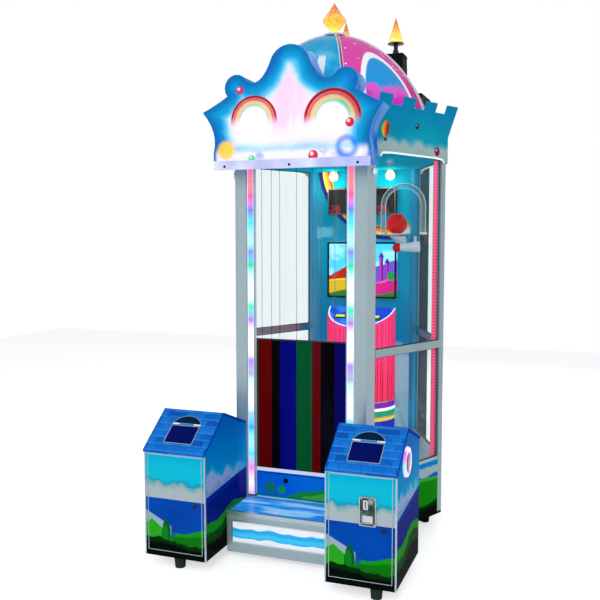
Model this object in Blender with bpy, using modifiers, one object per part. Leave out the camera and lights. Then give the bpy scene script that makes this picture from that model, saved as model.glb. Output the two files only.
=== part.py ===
"""Castle-shaped coin-operated ball game: glazed six-sided cabinet, domed roof, step and two coin houses.

Metres. x = 0 is the centre plane, z = 0 the floor, and the front faces -Y. Everything is built with y = 0 at
the front of the corner posts, then moved so that the origin is the centre of the footprint.
"""
import math

import bmesh
import bpy
from mathutils import Matrix, Vector

# Driving dimensions
GAP = 0.0003
FRONT_HALF = 0.33
MID_HALF = 0.585
MID_Y = 0.565
REAR_Y = 1.13
SHEET = 0.012
TRAY_BOTTOM = 0.06
TRAY_TOP = 0.35
TRAY_FRONT = 0.03
TRAY_WALL = 0.018
DECK_TOP = TRAY_TOP + 0.0163
POST_TOP = 1.895
POST_INNER = 0.272
LED_INNER = 0.232
RAIL_LOW, RAIL_HIGH = 0.935, 0.973
STRIPE_TOP = 1.005
STEP_HALF = 0.2775
STEP_DEPTH = 0.227
STEP_TOP = 0.223
STEP_BOTTOM = 0.03
CROWN_BEND = 2.0
CROWN_LEAN = 0.30
CROWN_NOTCH = 2.108
CROWN_TOP = 2.15
DOME_Y = 0.53
DOME_RADIUS = 0.51
DOME_SPRING = 2.0
DOME_RISE = 0.545
DOME_FULLNESS = 1.75
HOUSING_HALF = 0.34
HOUSING_REAR = 1.40
HOUSING_TOP = 2.337
TURRET_X, TURRET_Y = 0.156, 1.25
TURRET_TOP = 2.591
MARQUEE_FRONT = -0.128
MARQUEE_BOTTOM = 1.823
KIOSK_INNER, KIOSK_OUTER = 0.2785, 0.583
KIOSK_FRONT_FOOT = {"left": -0.432, "right": 0.49}
KIOSK_FRONT, KIOSK_REAR = -0.445, -0.005
KIOSK_BOTTOM = 0.0573
RIDGE_Y, RIDGE_Z = -0.25, 0.692
EAVE_FRONT_Z, EAVE_REAR_Z = 0.549, 0.600
ROOF_THICK = 0.011
BUTTON_Y, BUTTON_Z = -0.28, 0.555
BUTTON_RADIUS = 0.0425
PLATE_X0, PLATE_X1 = 0.427, 0.498
PLATE_Z0, PLATE_Z1 = 0.319, 0.442
CONSOLE_RADIUS = 0.205
BACK_WALL_Y = 1.10
ARCH_X, ARCH_Y, ARCH_RADIUS = 0.32, 0.78, 0.111
SHELF_Z = 1.516
BALL_RADIUS = 0.057
BALL_X = 0.285
CROWN_BOTTOM, CROWN_ARCH = 1.872, 1.892
DECK_PLATE = 0.018
INLET_X, INLET_Z, INLET_WIDTH, INLET_HEIGHT, INLET_DEPTH = -0.2525, 0.129, 0.048, 0.028, 0.008
REJECT_FRONT = 0.010
LOCK_FRONT = 0.003
PLAN_CENTRE_Y = (KIOSK_FRONT - REJECT_FRONT + HOUSING_REAR + LOCK_FRONT) / 2

COLOURS = {
    "aluminium": ((0.62, 0.68, 0.70), 0.35, 0.9),
    "diffuser": ((0.80, 0.88, 0.95), 0.4, 0.0),
    "glass": ((0.80, 0.92, 0.95), 0.05, 0.0),
    "sky_blue": ((0.01, 0.45, 0.75), 0.3, 0.0),
    "roof_blue": ((0.0, 0.16, 0.55), 0.4, 0.0),
    "wall_blue": ((0.0, 0.20, 0.35), 0.5, 0.0),
    "black": ((0.01, 0.01, 0.015), 0.4, 0.0),
    "pink": ((0.85, 0.12, 0.42), 0.35, 0.0),
    "amber": ((0.95, 0.55, 0.10), 0.1, 0.0),
    "red": ((0.70, 0.01, 0.02), 0.2, 0.0),
    "dark_metal": ((0.05, 0.06, 0.06), 0.35, 0.9),
    "grey": ((0.25, 0.26, 0.28), 0.5, 0.0),
}


# Scene, materials and objects
def clear_scene():
    for obj in list(bpy.data.objects):
        bpy.data.objects.remove(obj)


def new_collection(name):
    collection = bpy.data.collections.new(name)
    bpy.context.scene.collection.children.link(collection)
    return collection


def make_material(name):
    colour, roughness, metallic = COLOURS[name]
    material = bpy.data.materials.new(name)
    material.use_nodes = True
    shader = material.node_tree.nodes["Principled BSDF"]
    shader.inputs["Base Color"].default_value = (*colour, 1)
    shader.inputs["Roughness"].default_value = roughness
    shader.inputs["Metallic"].default_value = metallic
    return material


def add_object(name, mesh, colour, matrix=None, cutter=False):
    """A mesh as a part in its own material, or as a hidden cutter."""
    obj = bpy.data.objects.new(name, mesh)
    (CUTTERS if cutter else PARTS).objects.link(obj)
    obj.matrix_world = matrix or Matrix.Identity(4)
    if cutter:
        obj.hide_render = True
        obj.display_type = "WIRE"
    else:
        material = make_material(colour)
        material.name = name
        mesh.materials.clear()
        mesh.materials.append(material)
    return obj


def smooth(obj, angle=math.radians(35)):
    obj.data.shade_smooth()
    obj.data.set_sharp_from_angle(angle=angle)
    return obj


# Shapes
def box(name, low, high, colour="grey", cutter=False, origin=None):
    """A box between two corners; its origin is its centre, or a given point such as a hinge."""
    low, high = Vector(low), Vector(high)
    origin = Vector(origin) if origin else (low + high) / 2
    bm = bmesh.new()
    bmesh.ops.create_cube(bm, size=1)
    size = high - low
    bmesh.ops.scale(bm, vec=size, verts=bm.verts)
    bmesh.ops.translate(bm, vec=(low + high) / 2 - origin, verts=bm.verts)
    mesh = bpy.data.meshes.new(name)
    bm.to_mesh(mesh)
    bm.free()
    return add_object(name, mesh, colour, Matrix.Translation(origin), cutter)


def round_bar(name, radius, start, end, colour="grey", cutter=False, sides=24, end_radius=None):
    """A cylinder or cone from start to end, with its origin at start."""
    start, end = Vector(start), Vector(end)
    length = (end - start).length
    bm = bmesh.new()
    far = radius if end_radius is None else end_radius
    bmesh.ops.create_cone(bm, cap_ends=True, segments=sides, radius1=radius, radius2=far, depth=length)
    bmesh.ops.translate(bm, vec=(0, 0, length / 2), verts=bm.verts)
    mesh = bpy.data.meshes.new(name)
    bm.to_mesh(mesh)
    bm.free()
    turn = Vector((0, 0, 1)).rotation_difference(end - start).to_matrix().to_4x4()
    return smooth(add_object(name, mesh, colour, Matrix.Translation(start) @ turn, cutter))


def outline_mesh(name, loops, thickness):
    """A flat outline, with a hole wherever one loop lies inside another, as a plate centred on its plane."""
    curve = bpy.data.curves.new(name, "CURVE")
    curve.dimensions = "2D"
    curve.fill_mode = "BOTH"
    curve.extrude = thickness / 2
    for loop in loops:
        spline = curve.splines.new("POLY")
        spline.points.add(len(loop) - 1)
        for point, (u, v) in zip(spline.points, loop):
            point.co = (u, v, 0, 1)
        spline.use_cyclic_u = True
    guide = bpy.data.objects.new(name + "_guide", curve)
    CUTTERS.objects.link(guide)
    graph = bpy.context.evaluated_depsgraph_get()
    mesh = bpy.data.meshes.new_from_object(guide.evaluated_get(graph))
    bpy.data.objects.remove(guide)
    weld(mesh)
    return mesh


def weld(mesh):
    bm = bmesh.new()
    bm.from_mesh(mesh)
    bmesh.ops.remove_doubles(bm, verts=bm.verts, dist=0.00001)
    bmesh.ops.recalc_face_normals(bm, faces=bm.faces)
    bm.to_mesh(mesh)
    bm.free()


def prism(name, loops, low, high, colour="grey", cutter=False):
    """An upright prism on one or more plan outlines."""
    mesh = outline_mesh(name, loops, high - low)
    return add_object(name, mesh, colour, Matrix.Translation((0, 0, (low + high) / 2)), cutter)


def upright(name, loops, front, back, colour="grey", cutter=False):
    """An outline drawn in x and z, as a plate between two y planes."""
    mesh = outline_mesh(name, loops, back - front)
    matrix = Matrix.Translation((0, (front + back) / 2, 0)) @ Matrix.Rotation(math.pi / 2, 4, "X")
    return add_object(name, mesh, colour, matrix, cutter)


def profile_bar(name, loops, left, right, colour="grey", cutter=False):
    """An outline drawn in y and z, as a bar between two x planes."""
    mesh = outline_mesh(name, loops, right - left)
    turn = Matrix(((0, 0, 1, (left + right) / 2), (1, 0, 0, 0), (0, 1, 0, 0), (0, 0, 0, 1)))
    return add_object(name, mesh, colour, turn, cutter)


def wall_matrix(start, end, outwards=0.0):
    """u runs from start to end along a cabinet wall, v is up and w points out of the cabinet."""
    along = (end - start).normalized()
    out = Vector((along.y, -along.x))
    place = start + out * outwards
    return Matrix(((along.x, 0, out.x, place.x), (along.y, 0, out.y, place.y), (0, 1, 0, 0), (0, 0, 0, 1)))


def wall_board(name, start, end, loops, inner, outer, colour="grey", cutter=False):
    """A board on a cabinet wall between two distances from the wall plane, positive outwards."""
    mesh = outline_mesh(name, loops, outer - inner)
    return add_object(name, mesh, colour, wall_matrix(start, end, (inner + outer) / 2), cutter)


def rectangle(u0, u1, v0, v1):
    return [(u0, v0), (u1, v0), (u1, v1), (u0, v1)]


def turned(name, profile, colour, place, steps=32, cutter=False):
    """A profile of (radius, height), outer side first from top to bottom, turned about an upright axis."""
    bm = bmesh.new()
    verts = [bm.verts.new((radius, 0, height)) for radius, height in profile]
    for first, second in zip(verts, verts[1:]):
        bm.edges.new((first, second))
    mesh = bpy.data.meshes.new(name)
    bm.to_mesh(mesh)
    bm.free()
    obj = add_object(name, mesh, colour, Matrix.Translation(place), cutter)
    screw = obj.modifiers.new("turn", "SCREW")
    screw.steps = screw.render_steps = steps
    screw.use_merge_vertices = True
    screw.merge_threshold = 0.00005
    screw.use_smooth_shade = False
    return obj


def tube(name, points, radius, colour, cutter=False):
    """A round tube along straight stretches between close points, as a mesh."""
    curve = bpy.data.curves.new(name, "CURVE")
    curve.dimensions = "3D"
    curve.bevel_depth = radius
    curve.bevel_resolution = 2
    curve.use_fill_caps = True
    spline = curve.splines.new("POLY")
    spline.points.add(len(points) - 1)
    for point, place in zip(spline.points, points):
        point.co = (*place, 1)
    guide = bpy.data.objects.new(name + "_guide", curve)
    CUTTERS.objects.link(guide)
    graph = bpy.context.evaluated_depsgraph_get()
    mesh = bpy.data.meshes.new_from_object(guide.evaluated_get(graph))
    bpy.data.objects.remove(guide)
    weld(mesh)
    return smooth(add_object(name, mesh, colour, None, cutter))


def combine(obj, others, operation):
    for other in others:
        modifier = obj.modifiers.new(other.name, "BOOLEAN")
        modifier.operation = operation
        modifier.object = other
    return obj


def cut(obj, *cutters):
    return combine(obj, cutters, "DIFFERENCE")


def join(obj, *others):
    return combine(obj, others, "UNION")


def soften(obj, width):
    """Rounds the edges of a boxy piece slightly."""
    bevel = obj.modifiers.new("edges", "BEVEL")
    bevel.width = width
    bevel.segments = 1
    return obj


def mirrored(obj, name, colour):
    """The same piece on the other side of x = 0, as its own object."""
    graph = bpy.context.evaluated_depsgraph_get()
    mesh = bpy.data.meshes.new_from_object(obj.evaluated_get(graph))
    centre = obj.matrix_world.translation
    flip = Matrix.Scale(-1, 4, (1, 0, 0))
    place = Matrix.Translation(Vector((-centre.x, centre.y, centre.z)))
    mesh.transform(place.inverted() @ flip @ obj.matrix_world)
    mesh.flip_normals()
    return add_object(name, mesh, colour, place)


def pair(name, colour, build):
    """A right-hand piece and its mirror image on the left."""
    right = build(name + "_right")
    mirrored(right, name + "_left", colour)


def arc(centre, radius, start, end, count):
    """Points on an arc, with angles in degrees."""
    steps = [math.radians(start + (end - start) * i / count) for i in range(count + 1)]
    return [(centre[0] + radius * math.cos(a), centre[1] + radius * math.sin(a)) for a in steps]


def bend(start, control, end, count):
    """Points on a curve pulled towards a control point, without its first point."""
    points = []
    for i in range(1, count + 1):
        t = i / count
        points.append(tuple((1 - t) ** 2 * a + 2 * t * (1 - t) * c + t * t * b
                            for a, c, b in zip(start, control, end)))
    return points


def inset(points, distance):
    """A counter-clockwise outline moved inwards, or outwards when distance is negative."""
    moved = []
    for i, point in enumerate(points):
        here, before = Vector(point), Vector(points[i - 1])
        after = Vector(points[(i + 1) % len(points)])
        first, second = (here - before).normalized(), (after - here).normalized()
        normals = Vector((-first.y, first.x)), Vector((-second.y, second.x))
        moved.append(here + (normals[0] + normals[1]) * distance / (1 + normals[0].dot(normals[1])))
    return moved


# Cabinet plan: corners run counter-clockwise from the front left
FRONT_L, FRONT_R = Vector((-FRONT_HALF, 0)), Vector((FRONT_HALF, 0))
MID_R, MID_L = Vector((MID_HALF, MID_Y)), Vector((-MID_HALF, MID_Y))
REAR_R, REAR_L = Vector((FRONT_HALF, REAR_Y)), Vector((-FRONT_HALF, REAR_Y))
HEXAGON = [FRONT_L, FRONT_R, MID_R, REAR_R, REAR_L, MID_L]
SIDE_LENGTH = (MID_R - FRONT_R).length
SIDE_SLOPE = (MID_HALF - FRONT_HALF) / MID_Y
CORNER_SPREAD = SIDE_SLOPE


def cabinet_outline(distance):
    """The cabinet's plan with its front set back to the striped board, moved inwards by a distance."""
    front = FRONT_HALF + TRAY_FRONT * SIDE_SLOPE
    plan = [(-front, TRAY_FRONT), (front, TRAY_FRONT), *HEXAGON[2:]]
    return inset(plan, distance)


def corner_post_outline(before, corner, after, width, depth):
    """A post wrapped round a corner: width along each wall, depth into the cabinet."""
    first, second = (corner - before).normalized(), (after - corner).normalized()
    inner_first, inner_second = Vector((-first.y, first.x)), Vector((-second.y, second.x))
    start, end = corner - first * width, corner + second * width
    return [start, corner, end, end + inner_second * depth, start + inner_first * depth]


def front_post_outline():
    along = (MID_R - FRONT_R).normalized()
    inwards = Vector((-along.y, along.x))
    outer = FRONT_R + along * 0.065
    inner = outer + inwards * 0.03
    return [Vector((POST_INNER, 0)), FRONT_R, outer, inner, Vector((POST_INNER, inner.y))]


MID_POST = corner_post_outline(FRONT_R, MID_R, REAR_R, 0.035, 0.035)
REAR_POST = corner_post_outline(MID_R, REAR_R, REAR_L, 0.04, 0.035)


def post_cutters(low):
    """Post shapes a gap larger, both sides, from a height upwards."""
    cutters = []
    for outline in (front_post_outline(), MID_POST, REAR_POST):
        larger = inset(outline, -GAP)
        left = [(-x, y) for x, y in reversed(larger)]
        for side, loop in (("right", larger), ("left", left)):
            name = f"post_cutter_{len(cutters)}_{side}"
            cutters.append(prism(name, [loop], low, POST_TOP + 0.1, cutter=True))
    return cutters


def foot(name, x, y, top, radius=0.02):
    """A tapered foot whose top is inside the plate it carries."""
    return round_bar(name, radius * 0.8, (x, y, 0), (x, y, top), end_radius=radius, sides=16, cutter=True)


# Cabinet
def base_tray():
    outer = cabinet_outline(0)
    tray = prism("base_tray", [outer], TRAY_BOTTOM, TRAY_TOP, "sky_blue")
    inner = prism("tray_hollow", [cabinet_outline(TRAY_WALL)], TRAY_BOTTOM + SHEET, TRAY_TOP + 0.1,
                  cutter=True)
    door = box("riser_opening", (-0.2285, 0, 0.2295), (0.2285, 0.06, 0.3405), cutter=True)
    cut(tray, inner, door, *post_cutters(TRAY_BOTTOM + SHEET + GAP))
    places = [(0.27, 0.09), (0.50, 0.565), (0.27, 1.04)]
    for i, (x, y) in enumerate(places):
        for side in (-1, 1):
            join(tray, foot(f"tray_foot_{i}_{side}", side * x, y, TRAY_BOTTOM + 0.004, 0.028))


def cabinet_deck():
    deck = prism("cabinet_deck", [cabinet_outline(0.002)], TRAY_TOP + GAP, DECK_TOP - GAP, "aluminium")
    cut(deck, *post_cutters(TRAY_TOP - 0.05))


def posts():
    low = TRAY_BOTTOM + SHEET + 2 * GAP
    pair("front_post", "aluminium", lambda name: soften(
        prism(name, [front_post_outline()], low, POST_TOP - GAP, "aluminium"), 0.002))
    pair("led_channel", "diffuser", lambda name: soften(
        box(name, (LED_INNER, 0.004, STEP_TOP + 0.0105), (POST_INNER - GAP, TRAY_FRONT - GAP, POST_TOP - GAP),
            "diffuser"), 0.003))


def side_frame(name):
    """Middle post, rear post and the two glazing rails of one side, welded together."""
    low = TRAY_BOTTOM + SHEET + 2 * GAP
    frame = prism(name, [MID_POST], low, POST_TOP - GAP, "aluminium")
    rear = prism(name + "_rear_post", [REAR_POST], low, POST_TOP - GAP, cutter=True)
    loop = rectangle(0.0665, SIDE_LENGTH - 0.02, RAIL_LOW, RAIL_HIGH)
    front_rail = wall_board(name + "_front_rail", FRONT_R, MID_R, [loop], -0.012, -GAP, cutter=True)
    loop = rectangle(0.02, SIDE_LENGTH - 0.02, RAIL_LOW, RAIL_HIGH)
    rear_rail = wall_board(name + "_rear_rail", MID_R, REAR_R, [loop], -0.012, -GAP, cutter=True)
    return join(frame, front_rail, rear_rail, rear)


def panes():
    pane = (-0.0185, -0.0125)
    front = rectangle(0.0668, SIDE_LENGTH - 0.0355, DECK_TOP, POST_TOP - GAP)
    rear = rectangle(0.0355, SIDE_LENGTH - 0.0405, DECK_TOP, POST_TOP - GAP)
    pair("side_pane_front", "glass", lambda name: wall_board(name, FRONT_R, MID_R, [front], *pane, "glass"))
    pair("side_pane_rear", "glass", lambda name: wall_board(name, MID_R, REAR_R, [rear], *pane, "glass"))


def front_wall():
    edge = POST_INNER - GAP
    box("striped_panel", (-edge, TRAY_FRONT + GAP, DECK_TOP), (edge, TRAY_FRONT + 0.0063, STRIPE_TOP), "red")
    box("front_screen", (-edge, TRAY_FRONT + GAP, STRIPE_TOP + GAP),
        (edge, TRAY_FRONT + 0.0043, POST_TOP - GAP), "glass")
    hinge = (0, TRAY_FRONT + 0.001, 0.231)
    flap = box("riser_door", (-0.227, TRAY_FRONT + 0.002, 0.231), (0.227, TRAY_FRONT + 0.014, 0.339),
               "sky_blue", origin=hinge)
    lock = round_bar("riser_lock", 0.011, (-0.08, TRAY_FRONT - LOCK_FRONT, 0.312),
                     (-0.08, TRAY_FRONT + 0.008, 0.312), sides=16, cutter=True)
    join(flap, lock)


def back_wall():
    half = FRONT_HALF - 0.0405
    box("back_wall", (-half, BACK_WALL_Y, DECK_TOP), (half, BACK_WALL_Y + SHEET, POST_TOP - GAP), "wall_blue")


def rear_housing():
    """The machine room behind the back wall, with its service door and mains inlet recess."""
    low, front = TRAY_BOTTOM, REAR_Y + 0.0013
    housing = box("rear_housing", (-HOUSING_HALF, front, low), (HOUSING_HALF, HOUSING_REAR, HOUSING_TOP),
                  "black")
    hollow = box("housing_hollow", (SHEET - HOUSING_HALF, front + SHEET, low + SHEET),
                 (HOUSING_HALF - SHEET, HOUSING_REAR - SHEET, HOUSING_TOP - SHEET), cutter=True)
    opening = box("housing_opening", (-0.27, HOUSING_REAR - 0.05, 0.20), (0.27, HOUSING_REAR + 0.05, 1.90),
                  cutter=True)
    left, right = INLET_X - INLET_WIDTH / 2, INLET_X + INLET_WIDTH / 2
    inlet = box("inlet_recess", (left, HOUSING_REAR - INLET_DEPTH, INLET_Z - INLET_HEIGHT / 2),
                (right, HOUSING_REAR + 0.05, INLET_Z + INLET_HEIGHT / 2), cutter=True)
    cut(housing, hollow, opening, inlet)
    for side in (-1, 1):
        join(housing, foot(f"housing_foot_{side}", side * 0.28, 1.27, low + 0.004, 0.028))
    hinge = (0.2685, HOUSING_REAR - 0.0005, 1.05)
    door = box("rear_door", (-0.2685, HOUSING_REAR - 0.0125, 0.2015), (0.2685, HOUSING_REAR - 0.0005, 1.8985),
               "black", origin=hinge)
    join(door, round_bar("rear_door_lock", 0.011, (-0.235, HOUSING_REAR - 0.02, 1.05),
                         (-0.235, HOUSING_REAR + LOCK_FRONT, 1.05), sides=16, cutter=True))
    box("power_unit", (0.02, 1.19, low + SHEET + GAP), (0.24, 1.31, low + 0.12), "grey")


# Roof
def roof_deck():
    prism("roof_deck", [inset(HEXAGON, 0.002)], POST_TOP, POST_TOP + DECK_PLATE, "aluminium")


def crown_board(name, start, end, u0, u1, cutter):
    """One side's castle board: an arched lower edge, a plain band and a crenellated top that leans out."""
    low, arch_top = CROWN_BOTTOM, CROWN_ARCH
    outline = [(u0, low), (u0 + 0.03, low)]
    outline += bend((u0 + 0.03, low), (u0 + 0.04, arch_top), (u0 + 0.11, arch_top), 5)
    outline += [(u1 - 0.11, arch_top)]
    outline += bend((u1 - 0.11, arch_top), (u1 - 0.04, arch_top), (u1 - 0.03, low), 5)
    outline += [(u1, low), (u1, CROWN_TOP)]
    pitch = (u1 - u0) / 7
    for i in range(7):
        right, left = u1 - i * pitch, u1 - (i + 1) * pitch
        height = CROWN_TOP if i % 2 == 0 else CROWN_NOTCH
        outline += [(right, height), (left, height)]
    outline = [p for i, p in enumerate(outline) if p != outline[i - 1]]
    mesh = outline_mesh(name, [outline], 0.008)
    bm = bmesh.new()
    bm.from_mesh(mesh)
    everything = bm.verts[:] + bm.edges[:] + bm.faces[:]
    bmesh.ops.bisect_plane(bm, geom=everything, plane_co=(0, CROWN_BEND, 0), plane_no=(0, 1, 0))
    middle = (u0 + u1) / 2
    for vert in bm.verts:
        lean = max(0.0, vert.co.y - CROWN_BEND)
        vert.co.z += lean * CROWN_LEAN
        vert.co.x += (vert.co.x - middle) / (SIDE_LENGTH / 2) * lean * CROWN_LEAN * CORNER_SPREAD
    bm.to_mesh(mesh)
    bm.free()
    return add_object(name, mesh, "sky_blue", wall_matrix(start, end, 0.0045), cutter)


def crown(name):
    front = crown_board(name, FRONT_R, MID_R, 0.05, SIDE_LENGTH + 0.0039, cutter=False)
    rear = crown_board(name + "_rear", MID_R, REAR_R, -0.0039, SIDE_LENGTH - 0.014, cutter=True)
    return join(front, rear)


def dome_profile(offset, count, lowest):
    """Radius and height along the dome, from the top down, moved outwards by an offset.

    A fullness of 2 is an ellipse, and less is more pointed.
    """
    points = []
    for i in range(count + 1):
        angle = math.pi / 2 * (1 - i / count)
        up, out = math.sin(angle) ** (2 / DOME_FULLNESS), max(math.cos(angle), 0) ** (2 / DOME_FULLNESS)
        points.append(((DOME_RADIUS + offset) * out, DOME_SPRING + (DOME_RISE + offset) * up))
    points[0] = (0, points[0][1])
    return points + [(DOME_RADIUS + offset, lowest)]


def dome():
    lowest = POST_TOP + DECK_PLATE + GAP
    outer, inner = dome_profile(0, 12, lowest), dome_profile(-0.006, 12, lowest)
    shell = turned("dome_shell", outer + inner[::-1], "pink", (0, DOME_Y, 0), steps=36)
    smooth(shell)
    hub_top = DOME_SPRING + DOME_RISE + 0.010
    hub = round_bar("dome_ribs", 0.064, (0, DOME_Y, DOME_SPRING + DOME_RISE + GAP), (0, DOME_Y, hub_top),
                    "aluminium")
    low = DOME_SPRING + 0.06
    outer_arc = [p for p in dome_profile(0.008, 16, lowest) if p[1] > low]
    inner_arc = [p for p in dome_profile(0.0008, 16, lowest) if p[1] > low]
    ribs = []
    for i in range(6):
        mesh = outline_mesh(f"rib_{i}", [outer_arc + inner_arc[::-1]], 0.018)
        turn = Matrix.Rotation(math.radians(60 * i - 7), 4, "Z") @ Matrix.Rotation(math.pi / 2, 4, "X")
        place = Matrix.Translation((0, DOME_Y, 0)) @ turn
        ribs.append(add_object(f"rib_{i}", mesh, "aluminium", place, cutter=True))
    join(hub, *ribs)
    gem = [(0, 2.718), (0.066, 2.625), (0.018, hub_top + 0.004), (0.03, hub_top + GAP), (0, hub_top + GAP)]
    turned("dome_gem", gem, "amber", (0, DOME_Y, 0), steps=8)


def turret(name):
    low, wide, narrow = HOUSING_TOP + GAP, 0.0625, 0.0555
    place = (TURRET_X, TURRET_Y, low)
    tower = round_bar(name, wide * math.sqrt(2), place, (TURRET_X, TURRET_Y, TURRET_TOP), "black",
                      sides=4, end_radius=narrow * math.sqrt(2))
    tower.matrix_world = tower.matrix_world @ Matrix.Rotation(math.pi / 4, 4, "Z")
    return tower


def turret_cone(name):
    foot_z = TURRET_TOP + GAP
    profile = [(0, 2.814), (0.049, 2.668), (0.049, 2.656), (0.02, 2.652), (0.02, foot_z), (0, foot_z)]
    return turned(name, profile, "amber", (TURRET_X, TURRET_Y, 0), steps=8)


def marquee_outline():
    """Cloud-shaped sign, right half from the bottom corner to the peak, then mirrored."""
    half = [(0.379, MARQUEE_BOTTOM), (0.379, 1.893)]
    half += bend(half[-1], (0.352, 1.985), (0.4335, 2.08), 6)
    half += bend(half[-1], (0.36, 2.112), (0.306, 2.148), 4)
    half += arc((0.262, 2.185), 0.058, -20, 150, 8)
    half += bend(half[-1], (0.18, 2.19), (0.150, 2.209), 3)
    half += bend(half[-1], (0.112, 2.235), (0.085, 2.311), 4)
    half += arc((0, 2.262), 0.098, 36, 90, 4)
    return half + [(-x, z) for x, z in reversed(half[:-1])]


def marquee():
    outline = marquee_outline()
    face_back = MARQUEE_FRONT + 0.005
    upright("marquee_face", [outline], MARQUEE_FRONT, face_back, "sky_blue")
    housing = upright("marquee_box", [outline], face_back + GAP, -GAP, "sky_blue")
    hollow = box("marquee_hollow", (-0.35, face_back - 0.01, 1.85), (0.35, -0.02, 2.15), cutter=True)
    peak = box("marquee_peak_hollow", (-0.10, face_back - 0.01, 2.1), (0.10, -0.02, 2.22), cutter=True)
    cut(housing, hollow, peak)
    front = MARQUEE_FRONT - 0.003
    soften(box("marquee_trim", (-0.379, front, MARQUEE_BOTTOM - 0.012), (0.379, MARQUEE_FRONT - GAP, 1.853),
               "aluminium"), 0.001)


# Step
def step():
    frame = box("step_frame", (-STEP_HALF, -STEP_DEPTH, STEP_BOTTOM), (STEP_HALF, -GAP, STEP_TOP - 0.0133),
                "aluminium")
    recess = box("step_recess", (-0.25, -0.3, 0.078), (0.25, 0.003 - STEP_DEPTH, 0.180), cutter=True)
    hollow = box("step_hollow", (-0.262, 0.018 - STEP_DEPTH, 0), (0.262, -0.015, 0.198), cutter=True)
    cut(frame, recess, hollow)
    for x in (-0.268, 0.268):
        for y in (-0.15, -0.0125):
            join(frame, foot(f"step_foot_{x}_{y}", x, y, STEP_BOTTOM + 0.004, 0.009))
    neck = LED_INNER - 0.001
    outline = [(-STEP_HALF, -STEP_DEPTH), (STEP_HALF, -STEP_DEPTH), (STEP_HALF, -GAP), (neck, -GAP),
               (neck, TRAY_FRONT - GAP), (-neck, TRAY_FRONT - GAP), (-neck, -GAP), (-STEP_HALF, -GAP)]
    prism("step_tread", [outline], STEP_TOP - 0.013, STEP_TOP, "sky_blue")


# Coin houses
def kiosk_gable():
    """Side outline of a coin house under its roof, in y and z."""
    drop = ROOF_THICK + 0.001
    ridge = (RIDGE_Y, RIDGE_Z - drop)
    return [(KIOSK_FRONT, KIOSK_BOTTOM), (KIOSK_REAR, KIOSK_BOTTOM), (KIOSK_REAR, EAVE_REAR_Z - drop),
            ridge, (KIOSK_FRONT, EAVE_FRONT_Z - drop)]


def kiosk_body(name):
    body = profile_bar(name, [kiosk_gable()], KIOSK_INNER, KIOSK_OUTER, "sky_blue")
    hollow = box(name + "_hollow", (KIOSK_INNER + SHEET, KIOSK_FRONT + SHEET, 0),
                 (KIOSK_OUTER - SHEET, KIOSK_REAR - SHEET, 1), cutter=True)
    opening = box(name + "_opening", (KIOSK_INNER + 0.0135, KIOSK_FRONT - 0.1, 0.0815),
                  (KIOSK_OUTER - 0.0135, KIOSK_FRONT + 0.05, 0.5285), cutter=True)
    button_hole = round_bar(name + "_button_hole", BUTTON_RADIUS + 0.001,
                            (KIOSK_OUTER - 0.05, BUTTON_Y, BUTTON_Z),
                            (KIOSK_OUTER + 0.05, BUTTON_Y, BUTTON_Z), cutter=True)
    return cut(body, hollow, opening, button_hole)


def kiosk_roof(name):
    eave = KIOSK_FRONT - 0.007
    front_slope = (RIDGE_Z - EAVE_FRONT_Z) / (RIDGE_Y - KIOSK_FRONT)
    eave_z = EAVE_FRONT_Z - 0.007 * front_slope
    rear = KIOSK_REAR + 0.001
    top = [(rear, EAVE_REAR_Z), (RIDGE_Y, RIDGE_Z), (eave, eave_z)]
    loop = top + [(y, z - ROOF_THICK) for y, z in reversed(top)]
    return profile_bar(name, [loop], KIOSK_INNER - 0.0005, KIOSK_OUTER + 0.004, "roof_blue")


def kiosk_base(side):
    """Floor plate of a coin house on three tapered feet, one in front and two behind."""
    name, sign = "kiosk_base_" + side, 1 if side == "right" else -1
    low = KIOSK_BOTTOM + GAP
    edge = SHEET + GAP
    near, far = sorted((sign * (KIOSK_INNER + edge), sign * (KIOSK_OUTER - edge)))
    plate = box(name, (near, KIOSK_FRONT + edge, low), (far, KIOSK_REAR - edge, low + SHEET), "black")
    places = [(KIOSK_FRONT_FOOT[side], KIOSK_FRONT + 0.047)]
    places += [(sign * x, KIOSK_REAR - 0.05) for x in (KIOSK_INNER + 0.085, KIOSK_OUTER - 0.085)]
    for i, (x, y) in enumerate(places):
        join(plate, foot(f"{name}_foot_{i}", x, y, low + 0.004, 0.029))
    return plate


def kiosk_door(side):
    """The front door; both doors hang on their left edge and lock on their right."""
    name = "kiosk_door_" + side
    centre = (KIOSK_INNER + KIOSK_OUTER) / 2 * (1 if side == "right" else -1)
    half = (KIOSK_OUTER - KIOSK_INNER) / 2 - 0.015
    hinge = (centre - half, KIOSK_FRONT, 0.305)
    door = box(name, (centre - half, KIOSK_FRONT, 0.083), (centre + half, KIOSK_FRONT + SHEET, 0.527),
               "sky_blue", origin=hinge)
    lock_x = centre + half - 0.037
    lock = round_bar(name + "_lock", 0.009, (lock_x, KIOSK_FRONT - LOCK_FRONT, 0.307),
                     (lock_x, KIOSK_FRONT + 0.02, 0.307), sides=16, cutter=True)
    join(door, lock)
    return door


def button_ring(name):
    """The lit bezel round the big side button."""
    start, end = (KIOSK_OUTER + GAP, BUTTON_Y, BUTTON_Z), (KIOSK_OUTER + 0.012, BUTTON_Y, BUTTON_Z)
    ring = round_bar(name, 0.065, start, end, "pink", sides=32)
    hole = round_bar(name + "_hole", BUTTON_RADIUS + 0.0008, (KIOSK_OUTER - 0.05, BUTTON_Y, BUTTON_Z),
                     (KIOSK_OUTER + 0.05, BUTTON_Y, BUTTON_Z), cutter=True, sides=32)
    return cut(ring, hole)


def button_cap(name):
    start = (KIOSK_OUTER - 0.010, BUTTON_Y, BUTTON_Z)
    return round_bar(name, BUTTON_RADIUS, start, (KIOSK_OUTER + 0.016, BUTTON_Y, BUTTON_Z), "red", sides=32)


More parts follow.
